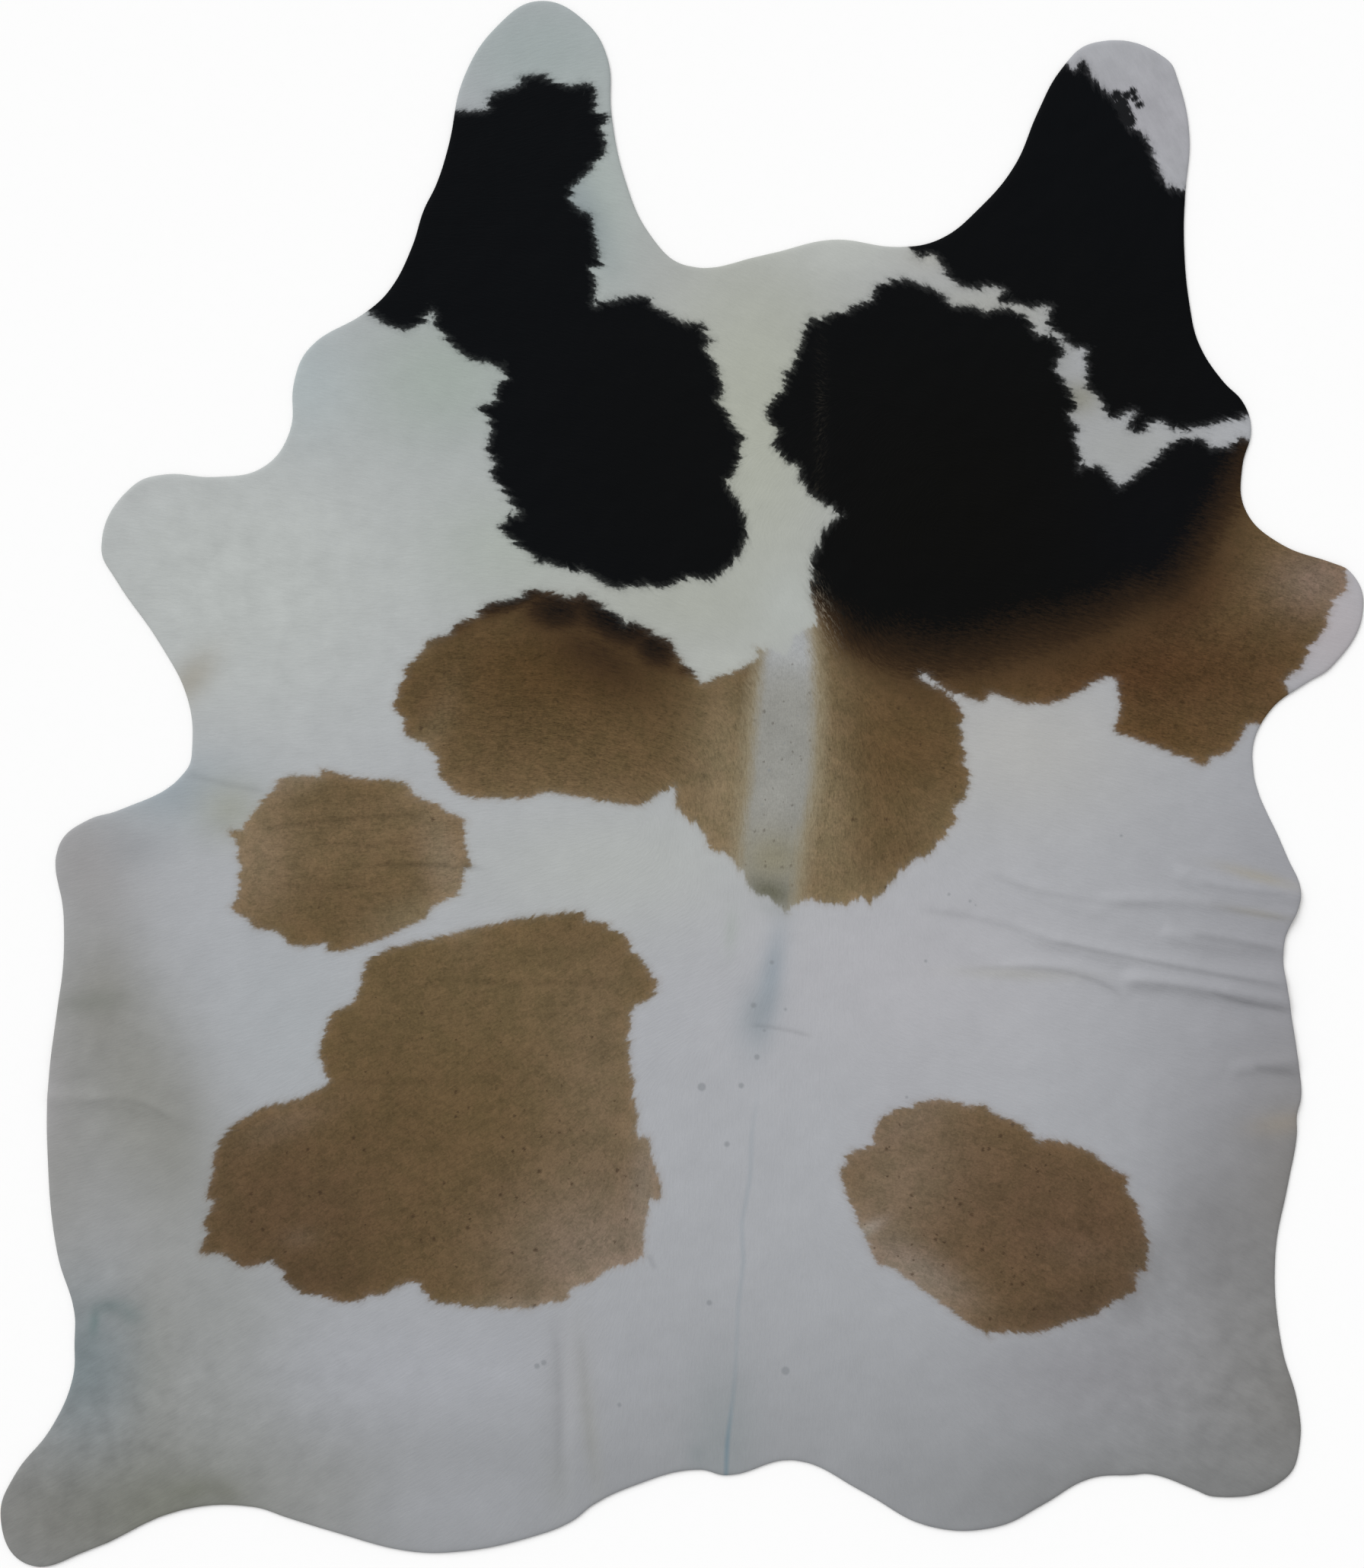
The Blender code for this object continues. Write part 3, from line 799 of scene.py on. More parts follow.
# Across the edge the hair turns to the patch's own in three parts: from and to which
# depth in mm, how large the part is, and how unevenly its hairs reach, in mm.
EDGE_HAIR = ((-3.4, 3.4, 0.74, 0), (-12, 3, 0.21, 8), (0, 12, 0.05, 6))
MOST_LEAN = 1.2  # of a tooth along the edge, where the hair lies along it
NEARLY_ALONG = 0.01  # the hair's least share across the edge that the lean is told by
SHORTEST_TOOTH = 0.45  # of its length, where the hair lies along the edge
POINTED_TUFTS = 0.4  # how far into a tuft its point reaches
ROUND_CLUMPS = (0.48, 0.58)  # from where in the clumps the tufts turn round

# How strongly the streaks and the clouds make each kind of hair lighter and darker.
PALE_SHADES = {"fine": 0.08, "locks": 0.05, "grain": 0.06, "cloud": 0.10}
BROWN_SHADES = {"tufts": 0.25, "dapple": 0.28, "curls": 0.75, "grain": 0.35, "cloud": 0.3}
STRIPE_SHADES = {"fine": 0.4, "grain": 0.3, "curls": 0.3, "dapple": 0.2, "cloud": 0.3}
FRINGE_SHADES = {"fine": 0.5, "locks": 0.3, "grain": 0.4}
RUSSET_SHADES = {"fine": 0.7, "curls": 0.8, "grain": 0.4}
CLEAR_HAIR, CLOUDY_HAIR = 0.07, 0.45  # the clouds in all pale hair, and what cloudy hair adds
CLOUD_STREAKS = 0.35  # of the clouds' strength
LOOSE_HAIR, WELL_COMBED_HAIR = 0.4, 0.8  # streaks in all brown hair, and what combing adds
COMBED_LOCKS = 0.6  # of the fine streaks' strength
RIM_REACH, RIM_PALER = 30 * MM, 0.15  # brown hair is paler towards a patch's rim
MOTTLE_CURLS, MOTTLE_RANGE = 0.5, (0.36, 0.64)
# How far they move the edges of the black, of the stripe and of the splashes.
BLACK_MOVES = {"fine": 0.3, "locks": 0.2, "curls": 0.2}
STRIPE_MOVES = {"tufts": 8 * MM, "locks": 8 * MM, "fine": 7 * MM}
SPLASH_MOVES = {"locks": 9 * MM, "fine": 8 * MM}
SPLASH_EDGE, SPLASH_STRENGTH = 3 * MM, 0.98
RUSSET_RANGE, BLACK_RANGE = (0.0, 0.55), (0.35, 0.92)  # of the way from brown to black
STRAND_LOCKS, STRAND_RANGE = 0.8, (0.5, 0.72)
LINE_WAVER, LINE_STRENGTH = 5 * MM, 0.6
DOT_EDGE, DOT_STRENGTH = 4 * MM, 0.5
# Painted shade in the wrinkles: how much darker the hair is painted for each mm of a groove's
# depth.
WRINKLE_PAINTED_SHADE = -0.35  # for each mm of depth
HAIR_RELIEF = {"locks": 0.8, "fine": 0.4}
HAIR_BUMP, HAIR_BUMP_DEPTH = 0.4, 1.0 * MM
HAIR_ROUGH = (0.5, 0.68)
HAIR_GLOSS = 0.04


def curve_through(points, steps):
    """A smooth closed line that passes each point."""
    before, here, ahead, beyond = (np.roll(points, turn, axis=0) for turn in (1, 0, -1, -2))
    t = (np.arange(steps) / steps)[:, None, None]
    line = 2 * here + (ahead - before) * t
    line = line + (2 * before - 5 * here + 4 * ahead - beyond) * t**2
    line = line + (3 * here - before - 3 * ahead + beyond) * t**3
    return line.transpose(1, 0, 2).reshape(-1, 2) / 2


def is_inside(line, places):
    x, y = places.T
    inside = np.zeros(len(places), dtype=bool)
    for start, end in zip(line, np.roll(line, -1, axis=0)):
        beside = np.nonzero((start[1] > y) != (end[1] > y))[0]
        cut = start[0] + (y[beside] - start[1]) * (end[0] - start[0]) / (end[1] - start[1])
        inside[beside] ^= x[beside] < cut
    return inside


def depth_inside(line, places, reach):
    """How deep inside the closed line each place is, and how far outside, below zero."""
    depth = np.full(len(places), -reach)
    near = np.all((places > line.min(axis=0) - reach) & (places < line.max(axis=0) + reach), axis=1)
    gap = np.minimum(from_line(line, places[near]), reach)
    depth[near] = np.where(is_inside(line, places[near]), gap, -gap)
    return depth


def as_light(tone):
    """A tone of 255, by the sRGB curve, as the share of light that the hair throws back."""
    tone = np.array(tone) / 255
    return np.where(tone > 0.04045, ((tone + 0.055) / 1.055) ** 2.4, tone / 12.92) / LIGHT_ON_HAIR


def tinted(tone, tints, places):
    """The ground tone with each soft tint laid over it in turn."""
    colour = np.tile(as_light(tone), (len(places), 1))
    for tint in tints.values():
        *place, tone, strength = tint
        share = strength * spread(*place, places)
        colour += share[:, None] * (as_light(tone) - colour)
    return colour


def spread(centre, half_length, half_width, turn, places):
    """1 at the centre, falling away softly over a turned oval."""
    turn = np.radians(turn)
    offset = (places - np.array(centre) * MM) / MM
    length = offset @ (np.cos(turn), np.sin(turn)) / half_length
    width = offset @ (-np.sin(turn), np.cos(turn)) / half_width
    return np.exp(-(length**2) - width**2)


def rolling(places, size, seed):
    """Smooth rises and hollows of about that size, from -1 to 1."""
    knots = np.random.default_rng(seed).uniform(-1, 1, (KNOTS, KNOTS))
    at = places / size + KNOTS_BEFORE
    cell = np.floor(at).astype(int) % (KNOTS - 1)
    share = smooth_step(at - np.floor(at))
    row, column = cell.T
    low = knots[row, column] * (1 - share[:, 0]) + knots[row + 1, column] * share[:, 0]
    high = knots[row, column + 1] * (1 - share[:, 0]) + knots[row + 1, column + 1] * share[:, 0]
    return low * (1 - share[:, 1]) + high * share[:, 1]


def write_colours(piece, name, colours):
    layer = piece.data.attributes.new(name, "FLOAT_COLOR", "POINT")
    full = np.column_stack([colours, np.ones(len(colours))]).astype(np.float32)
    layer.data.foreach_set("color", full.ravel())


def write_vectors(piece, name, vectors):
    layer = piece.data.attributes.new(name, "FLOAT_VECTOR", "POINT")
    layer.data.foreach_set("vector", vectors.astype(np.float32).ravel())


def hair_axis(places):
    """Twice the angle that the hair turns from straight back, as a direction."""
    total = np.zeros((len(places), 3))
    for x, y, degrees in HAIR_LAY:
        gap = ((places - np.array((x, y)) * MM) ** 2).sum(axis=1)
        twice = np.radians(2 * degrees)
        pull = (gap[:, None] + LAY_REACH**2) ** -LAY_FALL
        total += pull * np.array((np.cos(twice), np.sin(twice), 0))
    return total / np.linalg.norm(total, axis=1)[:, None]


def hair_direction(places):
    axis = hair_axis(places)
    angle = np.arctan2(axis[:, 1], axis[:, 0]) / 2
    return np.column_stack([np.sin(angle), -np.cos(angle)])


def crossing(line, places, depth):
    """Where the hair through each place crosses the patch's edge, and how squarely."""
    foot, ahead = nearest_on_line(line, places)
    outward = np.column_stack([ahead[:, 1], -ahead[:, 0]])
    hair = hair_direction(places)
    square = (hair * outward).sum(axis=1)
    straight = np.where(np.abs(square) < NEARLY_ALONG, NEARLY_ALONG, square)
    lean = (hair * ahead).sum(axis=1) / straight
    lean = np.clip(lean, -MOST_LEAN, MOST_LEAN)
    return foot + ahead * (depth * lean)[:, None], np.abs(square)


def stripe_depth(places):
    height, left, right = np.array(SPINE_STRIPE[::-1]).T * MM
    left = np.interp(places[:, 1], height, left)
    right = np.interp(places[:, 1], height, right)
    return np.minimum(places[:, 0] - left, right - places[:, 0])


def near_fold(places):
    near_crease = crease_distance(CREASES, places) < HAIR_CREASE_REACH
    return near_crease | (crease_distance(WRINKLES, places) < WRINKLE_REACH)


def build_hair_coat():
    rings = [pulled_in(edge, inset * MM) for inset, _ in RIM_RINGS]
    margin = RIM_RINGS[-1][0] * MM + HAIR_MARGIN
    coarse = rows_inside(edge, HAIR_CELL, margin, seed=3)
    fine = rows_inside(edge, HAIR_CREASE_CELL, margin - FINER_BY, seed=4)
    fine = fine[near_fold(fine)]
    coarse = coarse[~near_fold(coarse)]
    places = np.vstack(rings + [coarse, fine])
    depth = np.ones(len(places))
    for ring, (_, share) in enumerate(RIM_RINGS):
        depth[ring * len(edge) : (ring + 1) * len(edge)] = share
    lumps = sum(high * rolling(places, size * MM, seed) for size, high, seed in LUMPS)
    size, high, seed = BROAD_LUMPS
    lumps += high * np.maximum(rolling(places, size * MM, seed), 0)
    height = LEATHER + HAIR_DEPTH * depth + hide_rise(places) + lumps * MM * depth
    height += crease_rise(WRINKLES, places)
    under = np.vstack([rings[0], places_over(UNDER_CELL)])
    under_height = LEATHER - ROOTS + hide_rise(under)
    coat = closed_sheet("hair_coat", len(edge), lifted(places, height), lifted(under, under_height))
    return coat, np.vstack([places, under])


def colour_hair_coat(coat, places):
    depth = np.full(len(places), -CLEAR_OF_PATCH)
    edge_place = places.copy()
    square = np.ones(len(places))
    for points in PATCHES.values():
        line = counter_clockwise(curve_through(np.array(points) * MM, CURVE_STEPS))
        deep = depth_inside(line, places, CLEAR_OF_PATCH)
        here = (deep > depth) & (np.abs(deep) < TOOTH_REACH)
        edge_place[here], square[here] = crossing(line, places[here], deep[here])
        depth = np.maximum(depth, deep)
    write_values(coat, "patch depth", depth)
    write_vectors(coat, "edge place", lifted(edge_place, np.zeros(len(places))))
    at, browning, blackening = np.array(BLACK_FADE).T * MM
    black = depth_inside(np.array(BLACK_LINE) * MM, places, blackening.max())
    fade = np.where(
        black > 0, np.interp(places[:, 0], at, blackening), np.interp(places[:, 0], at, browning)
    )
    smoke = [row[-1] * spread(*row[:-1], places) for row in SMOKY_HAIR]
    black = np.maximum(np.clip((black / fade + 1) / 2, 0, 1), np.max(smoke, axis=0))
    write_values(coat, "black", black)
    brown = tinted(BROWN_TONE, BROWN_TINTS, places)
    shade = BROWN_TEETH + (1 - BROWN_TEETH) * smooth_step(black)
    write_values(coat, "tooth length", shade * (SHORTEST_TOOTH + (1 - SHORTEST_TOOTH) * square))
    in_stripe = np.clip(stripe_depth(places), -CLEAR_OF_PATCH, CLEAR_OF_PATCH)
    write_values(coat, "stripe depth", in_stripe)
    height, line, strength = np.array(SPINE_LINE).T
    off_line = places[:, 0] - np.interp(places[:, 1], height * MM, line * MM)
    write_values(coat, "off spine line", np.clip(off_line, -CLEAR_OF_PATCH, CLEAR_OF_PATCH))
    strength = np.interp(places[:, 1], height * MM, strength, left=1.0, right=0.0)
    write_values(coat, "spine line", strength)
    write_values(coat, "wrinkle", -crease_rise(WRINKLES, places) / MM)
    for name, rows in {"flecks": FLECKED, "cloudy": CLOUDY, "combing": WELL_COMBED}.items():
        shares = [most * spread(centre, reach, reach, 0, places) for centre, reach, most in rows]
        write_values(coat, name, np.max(shares, axis=0))
    long_hairs = [row[-1] * spread(*row[:-1], places) for row in LONG_PALE_HAIR]
    write_values(coat, "long pale hair", np.max(long_hairs, axis=0))
    write_vectors(coat, "hair axis", hair_axis(places))
    write_colours(coat, "pale hair", tinted(PALE_TONE, PALE_TINTS, places))
    write_colours(coat, "brown hair", brown)
    write_colours(coat, "black hair", tinted(BLACK_TONE, BLACK_TINTS, places))
    write_colours(coat, "stripe hair", tinted(STRIPE_TONE, STRIPE_TINTS, places))


def combed_hair_group():
    """Streaks, 0 to 1, that lie along the hair."""
    tree = bpy.data.node_groups.new("combed hair", "ShaderNodeTree")
    for name in ("Lay", "Length", "Width", "Seed"):
        tree.interface.new_socket(name, in_out="INPUT", socket_type="NodeSocketFloat")
    tree.interface.new_socket("Streaks", in_out="OUTPUT", socket_type="NodeSocketFloat")
    given = tree.nodes.new("NodeGroupInput").outputs
    step = maths(tree, "FLOOR", given["Lay"])
    share = eased_between(tree, maths(tree, "SUBTRACT", given["Lay"], step), 0.0, 1.0)
    across = maths(tree, "DIVIDE", 1.0, given["Width"])
    along = maths(tree, "DIVIDE", 1.0, given["Length"])
    size = node(tree, "CombineXYZ", {0: across, 1: along}).outputs[0]
    streaks = []
    for turn in (0, 1):
        direction = maths(tree, "WRAP", maths(tree, "ADD", step, turn), LAY_STEPS, 0.0)
        angle = maths(tree, "MULTIPLY", direction, -np.pi / LAY_STEPS)
        turned = node(
            tree, "VectorRotate", {"Vector": on_piece(tree), "Angle": angle}, rotation_type="Z_AXIS"
        ).outputs[0]
        scaled = node(tree, "VectorMath", {0: turned, 1: size}, operation="MULTIPLY").outputs[0]
        apart = maths(tree, "MULTIPLY_ADD", direction, LAY_APART, given["Seed"])
        placed = node(tree, "VectorMath", {0: scaled, 1: apart}, operation="ADD").outputs[0]
        streaks.append(noise(tree, placed, 1.0, noise_dimensions="2D"))
    change = maths(tree, "SUBTRACT", streaks[1], streaks[0])
    mean = maths(tree, "MULTIPLY_ADD", change, share, streaks[0])
    rest = maths(tree, "SUBTRACT", 1.0, share)
    power = maths(tree, "MULTIPLY_ADD", share, share, maths(tree, "MULTIPLY", rest, rest))
    level = maths(tree, "DIVIDE", maths(tree, "SUBTRACT", mean, 0.5), maths(tree, "SQRT", power))
    output = tree.nodes.new("NodeGroupOutput")
    tree.links.new(maths(tree, "ADD", level, 0.5), output.inputs["Streaks"])
    return tree


COMBED_HAIR = combed_hair_group()


def hair_lay(tree):
    """The lay in steps of a half turn, from the axis kept on the piece."""
    axis = node(tree, "SeparateXYZ", {0: stored(tree, "hair axis", "Vector")}).outputs
    twice = maths(tree, "ARCTAN2", axis[1], axis[0])
    return maths(tree, "MULTIPLY_ADD", twice, LAY_STEPS / (2 * np.pi), LAY_STEPS)


def combed(tree, lay, size, seed):
    made = tree.nodes.new("ShaderNodeGroup")
    made.node_tree = COMBED_HAIR
    tree.links.new(lay, made.inputs["Lay"])
    made.inputs["Length"].default_value, made.inputs["Width"].default_value = size
    made.inputs["Seed"].default_value = seed
    return made.outputs[0]


def moved_by(tree, depth, *parts):
    """The depth with (value about 0.5, reach) parts added to it."""
    for value, reach in parts:
        depth = maths(tree, "MULTIPLY_ADD", maths(tree, "SUBTRACT", value, 0.5), reach, depth)
    return depth


def inside_dots(tree, place, dots):
    """How deep inside the nearest of the small dots."""
    depth = -1.0
    for x, y, radius in dots:
        inputs = {0: place, 1: (x * MM, y * MM, 0.0)}
        gap = node(tree, "VectorMath", inputs, operation="DISTANCE").outputs["Value"]
        depth = maths(tree, "MAXIMUM", depth, maths(tree, "SUBTRACT", radius * MM, gap))
    return depth


def ramp_between(tree, value, low, high):
    return node(tree, "MapRange", {"Value": value, "From Min": low, "From Max": high}).outputs[0]


def flecked(tree, flat_place, fine, density, chosen):
    """1 in small uneven flecks, in the chosen share of the cells."""
    inputs = {"Vector": flat_place, "Scale": density}
    cells = node(tree, "TexVoronoi", inputs, voronoi_dimensions="2D").outputs
    chance = node(tree, "SeparateColor", {0: cells["Color"]}).outputs
    size = maths(tree, "MULTIPLY", chance[1], chance[1])
    size = maths(tree, "MULTIPLY_ADD", size, FLECK_SPREAD, FLECK_SIZE)
    gap = moved_by(tree, cells["Distance"], (fine, FLECK_RAGGED))
    fleck = eased_between(tree, maths(tree, "DIVIDE", gap, size), *FLECK_FADE)
    return maths(tree, "MULTIPLY", fleck, maths(tree, "LESS_THAN", chance[0], chosen))


def varied(tree, colour, *parts):
    """The colour made lighter and darker by (value about 0.5, strength) parts."""
    scale = 1.0
    for value, strength in parts:
        scale = maths(tree, "MULTIPLY_ADD", maths(tree, "SUBTRACT", value, 0.5), strength, scale)
    if not isinstance(colour, bpy.types.NodeSocket):
        colour = colour[:3]
    return node(tree, "VectorMath", {0: colour, "Scale": scale}, operation="SCALE").outputs[0]


def toothed(tree, place, fine):
    """How deep inside a patch, once its edge is broken into teeth."""
    at_edge = stored(tree, "edge place", "Vector")
    clumps, tufts, teeth = (1 / width for width, _ in (CLUMP, TUFT, TOOTH))
    clumps = noise(tree, at_edge, clumps, 1.0, noise_dimensions="2D")
    teeth = noise(tree, place, teeth, noise_dimensions="2D")
    settings = {"voronoi_dimensions": "2D", "feature": "DISTANCE_TO_EDGE"}
    tufts = node(tree, "TexVoronoi", {"Vector": at_edge, "Scale": tufts}, **settings).outputs[0]
    inwards = ramp_between(tree, tufts, 0.0, POINTED_TUFTS)
    rounded = maths(tree, "SQRT", inwards)
    pointed = maths(tree, "SUBTRACT", 1.0, inwards)
    share = eased_between(tree, clumps, *ROUND_CLUMPS)
    tufts = maths(tree, "MULTIPLY_ADD", maths(tree, "SUBTRACT", rounded, pointed), share, pointed)
    depth = moved_by(tree, 0.0, (clumps, CLUMP[1]), (tufts, TUFT[1]), (teeth, TOOTH[1]))
    depth = maths(tree, "MULTIPLY", depth, stored(tree, "tooth length"))
    depth = maths(tree, "ADD", depth, stored(tree, "patch depth"))
    return moved_by(tree, depth, (fine, HAIR_FRINGE))


def share_of_patch(tree, depth, fine):
    """How much of the hair is the patch's own, as hairs of both lie across its edge."""
    share = 0.0
    for outside, inside, part, reach in EDGE_HAIR:
        uneven = moved_by(tree, depth, (fine, reach * MM))
        turned = eased_between(tree, uneven, outside * MM, inside * MM)
        share = maths(tree, "MULTIPLY_ADD", turned, part, share)
    return share


def picked(hairs, strengths):
    return [(hairs[name], strength) for name, strength in strengths.items()]


def hair_streaks(tree, place):
    """All that makes the hair uneven, by name, as values about 0.5."""
    lay = hair_lay(tree)
    return {
        "fine": combed(tree, lay, FINE_HAIR, 3.0),  # the last number sets each apart
        "locks": combed(tree, lay, HAIR_LOCK, 11.0),
        "tufts": combed(tree, lay, HAIR_TUFT, 29.0),
        "grain": noise(tree, place, GRAIN_SCALE),
        "cloud": noise(tree, place, CLOUD_SCALE, 4.0),
        "dapple": noise(tree, place, 1 / DAPPLE, 3.0),
        "curls": noise(tree, place, CURL_SCALE, 3.0, CURL_TWIST),
    }


def pale_hair(tree, hairs):
    cloudy = maths(tree, "MULTIPLY_ADD", stored(tree, "cloudy"), CLOUDY_HAIR, CLEAR_HAIR)
    streaky = maths(tree, "MULTIPLY", cloudy, CLOUD_STREAKS)
    clouds = ((hairs["dapple"], cloudy), (hairs["tufts"], streaky))
    pale = stored(tree, "pale hair", "Color")
    pale = varied(tree, pale, *picked(hairs, PALE_SHADES), *clouds)
    line = moved_by(tree, stored(tree, "off spine line"), (hairs["cloud"], LINE_WAVER))
    line = eased_between(tree, maths(tree, "ABSOLUTE", line), SPINE_LINE_WIDTH, 0.0)
    line = maths(tree, "MULTIPLY", line, stored(tree, "spine line"))
    line = maths(tree, "MULTIPLY", line, LINE_STRENGTH)
    return blended(tree, line, pale, as_colour(SPINE_LINE_TONE))


def brown_hair(tree, hairs, flat_place):
    """Brown hair, with its mottle and its dark flecks."""
    combing = maths(tree, "MULTIPLY_ADD", stored(tree, "combing"), WELL_COMBED_HAIR, LOOSE_HAIR)
    locks = maths(tree, "MULTIPLY", combing, COMBED_LOCKS)
    near_rim = eased_between(tree, stored(tree, "patch depth"), RIM_REACH, 0.0)
    brown = varied(
        tree,
        stored(tree, "brown hair", "Color"),
        (hairs["fine"], combing),
        (hairs["locks"], locks),
        *picked(hairs, BROWN_SHADES),
        (maths(tree, "ADD", near_rim, 0.5), RIM_PALER),
    )
    mottle = moved_by(tree, hairs["dapple"], (hairs["curls"], MOTTLE_CURLS))
    mottle = blended(tree, eased_between(tree, mottle, *MOTTLE_RANGE), *BROWN_MOTTLE)
    brown = node(tree, "VectorMath", {0: brown, 1: mottle}, operation="MULTIPLY").outputs[0]
    density, share, strength = FLECKS
    clusters = noise(tree, on_piece(tree), 1 / FLECK_CLUSTER, 1.0)
    clusters = eased_between(tree, clusters, *CLUSTER_RANGE)
    chosen = maths(tree, "MULTIPLY", stored(tree, "flecks"), clusters)
    chosen = maths(tree, "MULTIPLY", chosen, share)
    fleck = flecked(tree, flat_place, hairs["fine"], density, chosen)
    fleck = maths(tree, "MULTIPLY", fleck, strength)
    return blended(tree, fleck, brown, as_colour(FLECK_TONE))


def with_stripe(tree, hairs, flat_place, brown):
    """The stripe along the spine and its cream fringes, over the brown hair."""
    stripe = moved_by(tree, stored(tree, "stripe depth"), *picked(hairs, STRIPE_MOVES))
    fringe = varied(tree, as_colour(STRIPE_FRINGE_TONE), *picked(hairs, FRINGE_SHADES))
    coloured = blended(tree, eased_between(tree, stripe, *FRINGE_WIDTHS), brown, fringe)
    density, share, strength = STRIPE_FLECKS
    speck = flecked(tree, flat_place, hairs["fine"], density, share)
    speck = maths(tree, "MULTIPLY", speck, strength)
    tone = varied(tree, stored(tree, "stripe hair", "Color"), *picked(hairs, STRIPE_SHADES))
    tone = blended(tree, speck, tone, as_colour(FLECK_TONE))
    return blended(tree, eased_between(tree, stripe, *STRIPE_WIDTHS), coloured, tone)


def with_black(tree, hairs, coloured):
    """Black hair, which turns russet and then brown in streaks, and long pale hairs on it."""
    black = moved_by(tree, stored(tree, "black"), *picked(hairs, BLACK_MOVES))
    black = eased_between(tree, black, 0.0, 1.0)
    russet = varied(tree, as_colour(RUSSET_TONE), *picked(hairs, RUSSET_SHADES))
    coloured = blended(tree, ramp_between(tree, black, *RUSSET_RANGE), coloured, russet)
    black_hair = stored(tree, "black hair", "Color")
    coloured = blended(tree, ramp_between(tree, black, *BLACK_RANGE), coloured, black_hair)
    strands = moved_by(tree, hairs["fine"], (hairs["locks"], STRAND_LOCKS))
    strands = eased_between(tree, strands, *STRAND_RANGE)
    strands = maths(tree, "MULTIPLY", strands, stored(tree, "long pale hair"))
    return blended(tree, strands, coloured, as_colour(LONG_HAIR_TONE))


def patch_share(tree, hairs, flat_place):
    """Where the hair is a patch's or a splash's, 0 to 1."""
    splashes = inside_dots(tree, flat_place, SPLASHES)
    splashes = moved_by(tree, splashes, *picked(hairs, SPLASH_MOVES))
    splashes = eased_between(tree, splashes, -SPLASH_EDGE, SPLASH_EDGE)
    splashes = maths(tree, "MULTIPLY", splashes, SPLASH_STRENGTH)
    patch = share_of_patch(tree, toothed(tree, flat_place, hairs["fine"]), hairs["fine"])
    return maths(tree, "MAXIMUM", patch, splashes)


def hair_material():
    material, tree, shader = new_material("hair coat")
    place = on_piece(tree)
    flat = {0: place, 1: (1.0, 1.0, 0.0)}
    flat_place = node(tree, "VectorMath", flat, operation="MULTIPLY").outputs[0]
    hairs = hair_streaks(tree, place)
    brown = brown_hair(tree, hairs, flat_place)
    coloured = with_black(tree, hairs, with_stripe(tree, hairs, flat_place, brown))
    patch = patch_share(tree, hairs, flat_place)
    colour = blended(tree, patch, pale_hair(tree, hairs), coloured)
    dots = eased_between(tree, inside_dots(tree, flat_place, DOTS), 0.0, DOT_EDGE)
    dots = maths(tree, "MULTIPLY", dots, DOT_STRENGTH)
    colour = blended(tree, dots, colour, as_colour(DOT_TONE))
    # Painted shade: the colour is darkened along the wrinkles' grooves.
    shade = maths(tree, "MULTIPLY_ADD", stored(tree, "wrinkle"), WRINKLE_PAINTED_SHADE, 1.0)
    colour = node(tree, "VectorMath", {0: colour, "Scale": shade}, operation="SCALE").outputs[0]
    tree.links.new(colour, shader.inputs["Base Color"])

    relief = maths(tree, "MULTIPLY", hairs["fine"], HAIR_RELIEF["fine"])
    relief = maths(tree, "MULTIPLY_ADD", hairs["locks"], HAIR_RELIEF["locks"], relief)
    set_relief(tree, shader, relief, HAIR_BUMP, HAIR_BUMP_DEPTH)
    set_gloss(tree, shader, hairs["fine"], HAIR_ROUGH, HAIR_GLOSS)
    return material


def as_colour(tone):
    return (*as_light(tone), 1.0)


hair_coat, hair_places = build_hair_coat()
colour_hair_coat(hair_coat, hair_places)
hair_coat.data.materials.append(hair_material())
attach(hair_coat, "root")
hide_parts("hide")


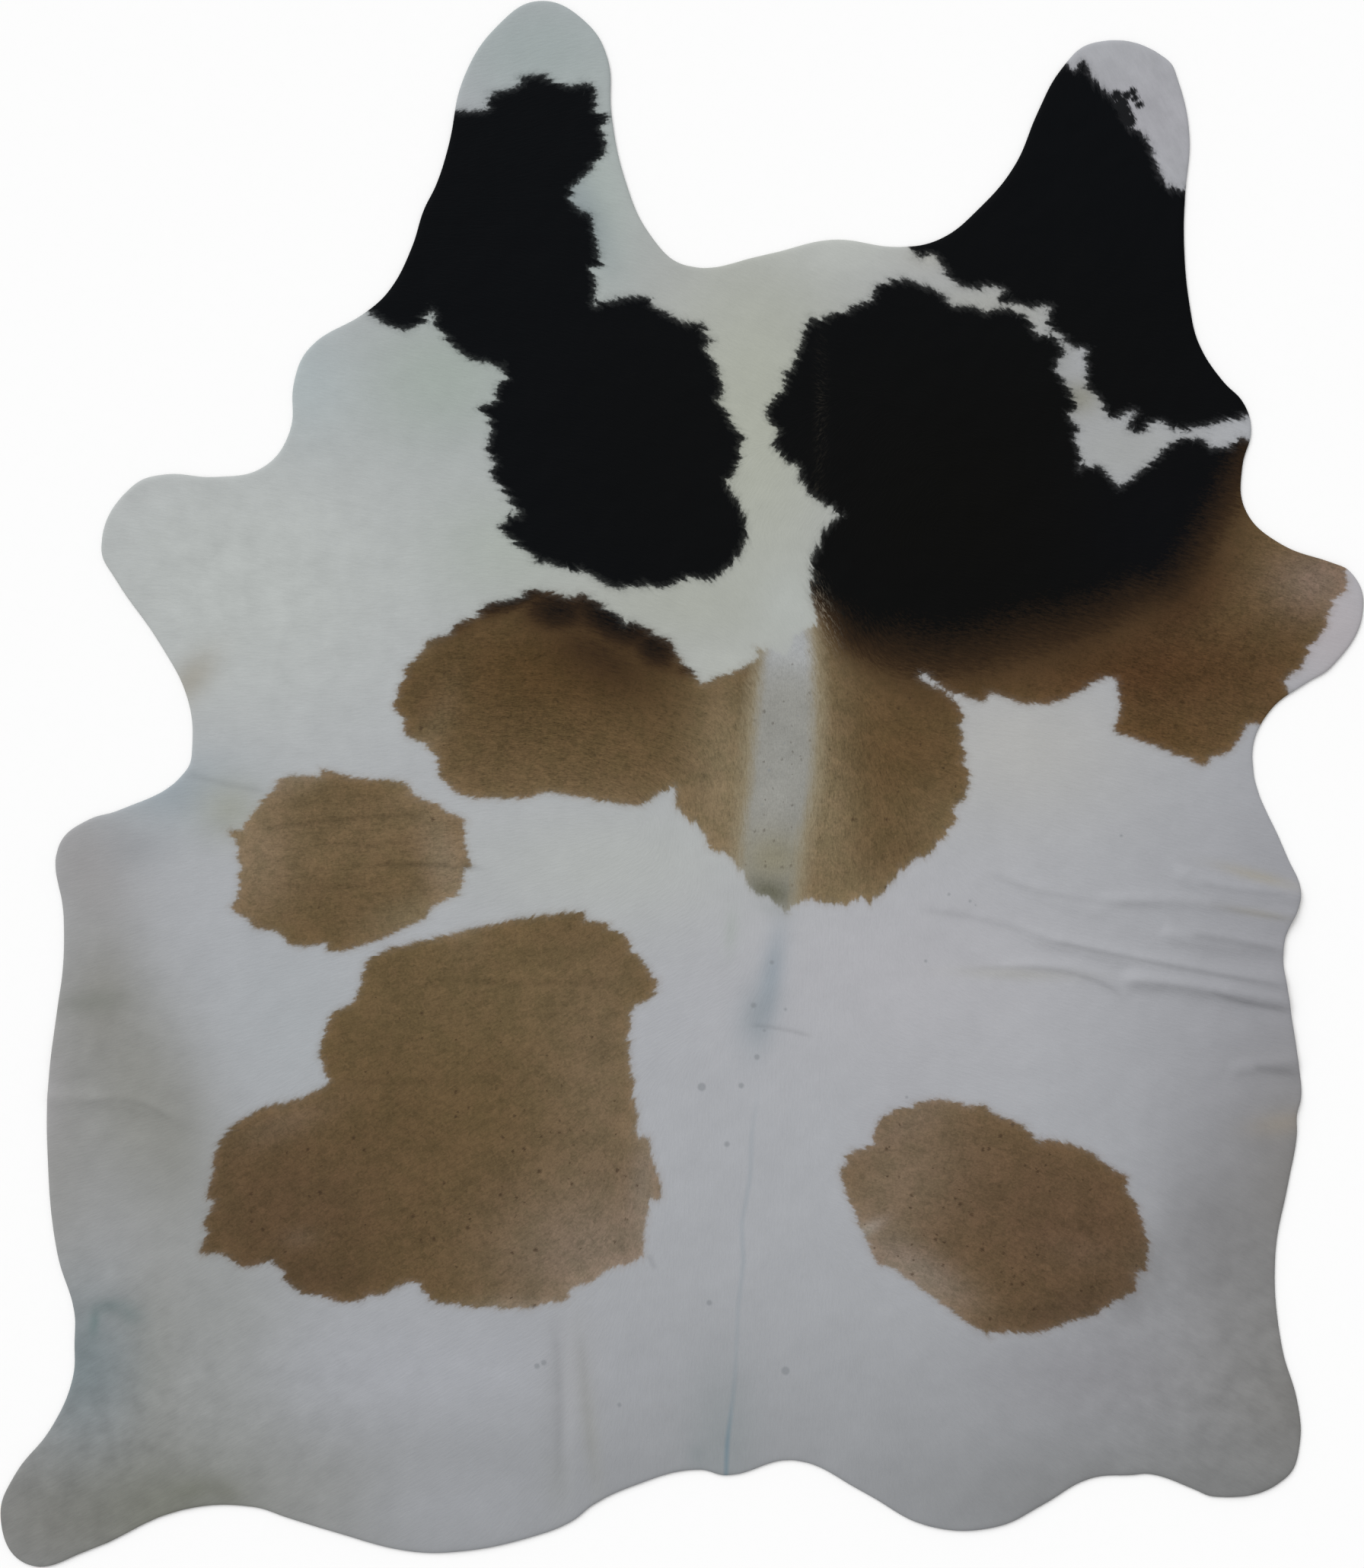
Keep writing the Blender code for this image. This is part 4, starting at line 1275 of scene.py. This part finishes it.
# ---------------------------------------------------------------------------
# The floor, the light and the camera
# A plain pale floor, an even white room with one broad soft lamp from the upper left,
# and the camera straight above, where the photograph was taken from.
# ---------------------------------------------------------------------------
FLOOR_SIZE = 160.0
FLOOR_COLOUR = (0.95, 0.95, 0.95, 1.0)
FLOOR_GRAIN, FLOOR_SHADE, FLOOR_ROUGH = 60.0, 0.01, 0.9
FLOOR_DROP = 0.3 * MM  # so that the leather doesn't lie in the floor's face
ROOM_LIGHT = 0.62
LAMP_LIGHT = 1.9
LAMP_TILT = (np.radians(-38), np.radians(-30), 0.0)
LAMP_SOFTNESS = np.radians(50)
LENS = 85
FILM = 36
PHOTO_HEIGHT = 2060  # pixels
PIXEL = 1.118 * MM  # what each takes in at the hide
CAMERA_HEIGHT = PHOTO_HEIGHT * PIXEL * LENS / FILM + LEATHER + HAIR_DEPTH


def build_floor():
    mesh = bpy.data.meshes.new("floor")
    half = FLOOR_SIZE / 2
    corners = [(-half, -half, 0), (half, -half, 0), (half, half, 0), (-half, half, 0)]
    mesh.from_pydata(corners, [], [(0, 1, 2, 3)])
    floor = bpy.data.objects.new("floor", mesh)
    floor.location.z = -FLOOR_DROP
    bpy.context.scene.collection.objects.link(floor)
    material, tree, shader = new_material("plain floor")
    grain = noise(tree, on_piece(tree), FLOOR_GRAIN, 3.0)
    colour = varied(tree, FLOOR_COLOUR, (grain, FLOOR_SHADE))
    tree.links.new(colour, shader.inputs["Base Color"])
    shader.inputs["Roughness"].default_value = FLOOR_ROUGH
    shader.inputs["Specular IOR Level"].default_value = 0.0
    mesh.materials.append(material)
    return floor


def build_light():
    scene = bpy.context.scene
    scene.view_settings.view_transform = "Standard"
    scene.view_settings.look = "None"
    room = bpy.data.worlds.new("white room")
    room.use_nodes = True
    background = room.node_tree.nodes["Background"]
    background.inputs["Color"].default_value = (1.0, 1.0, 1.0, 1.0)
    background.inputs["Strength"].default_value = ROOM_LIGHT
    scene.world = room
    lamp = bpy.data.lights.new("soft lamp", "SUN")
    lamp.energy = LAMP_LIGHT
    lamp.angle = LAMP_SOFTNESS
    lamp_object = bpy.data.objects.new("soft lamp", lamp)
    lamp_object.rotation_euler = LAMP_TILT
    scene.collection.objects.link(lamp_object)


def build_camera():
    camera = bpy.data.cameras.new("camera")
    camera.lens = LENS
    camera.sensor_width = FILM
    camera.clip_end = 100.0
    camera_object = bpy.data.objects.new("camera", camera)
    camera_object.location = (0.0, 0.0, CAMERA_HEIGHT)
    bpy.context.scene.collection.objects.link(camera_object)
    bpy.context.scene.camera = camera_object


build_floor()
build_light()
build_camera()
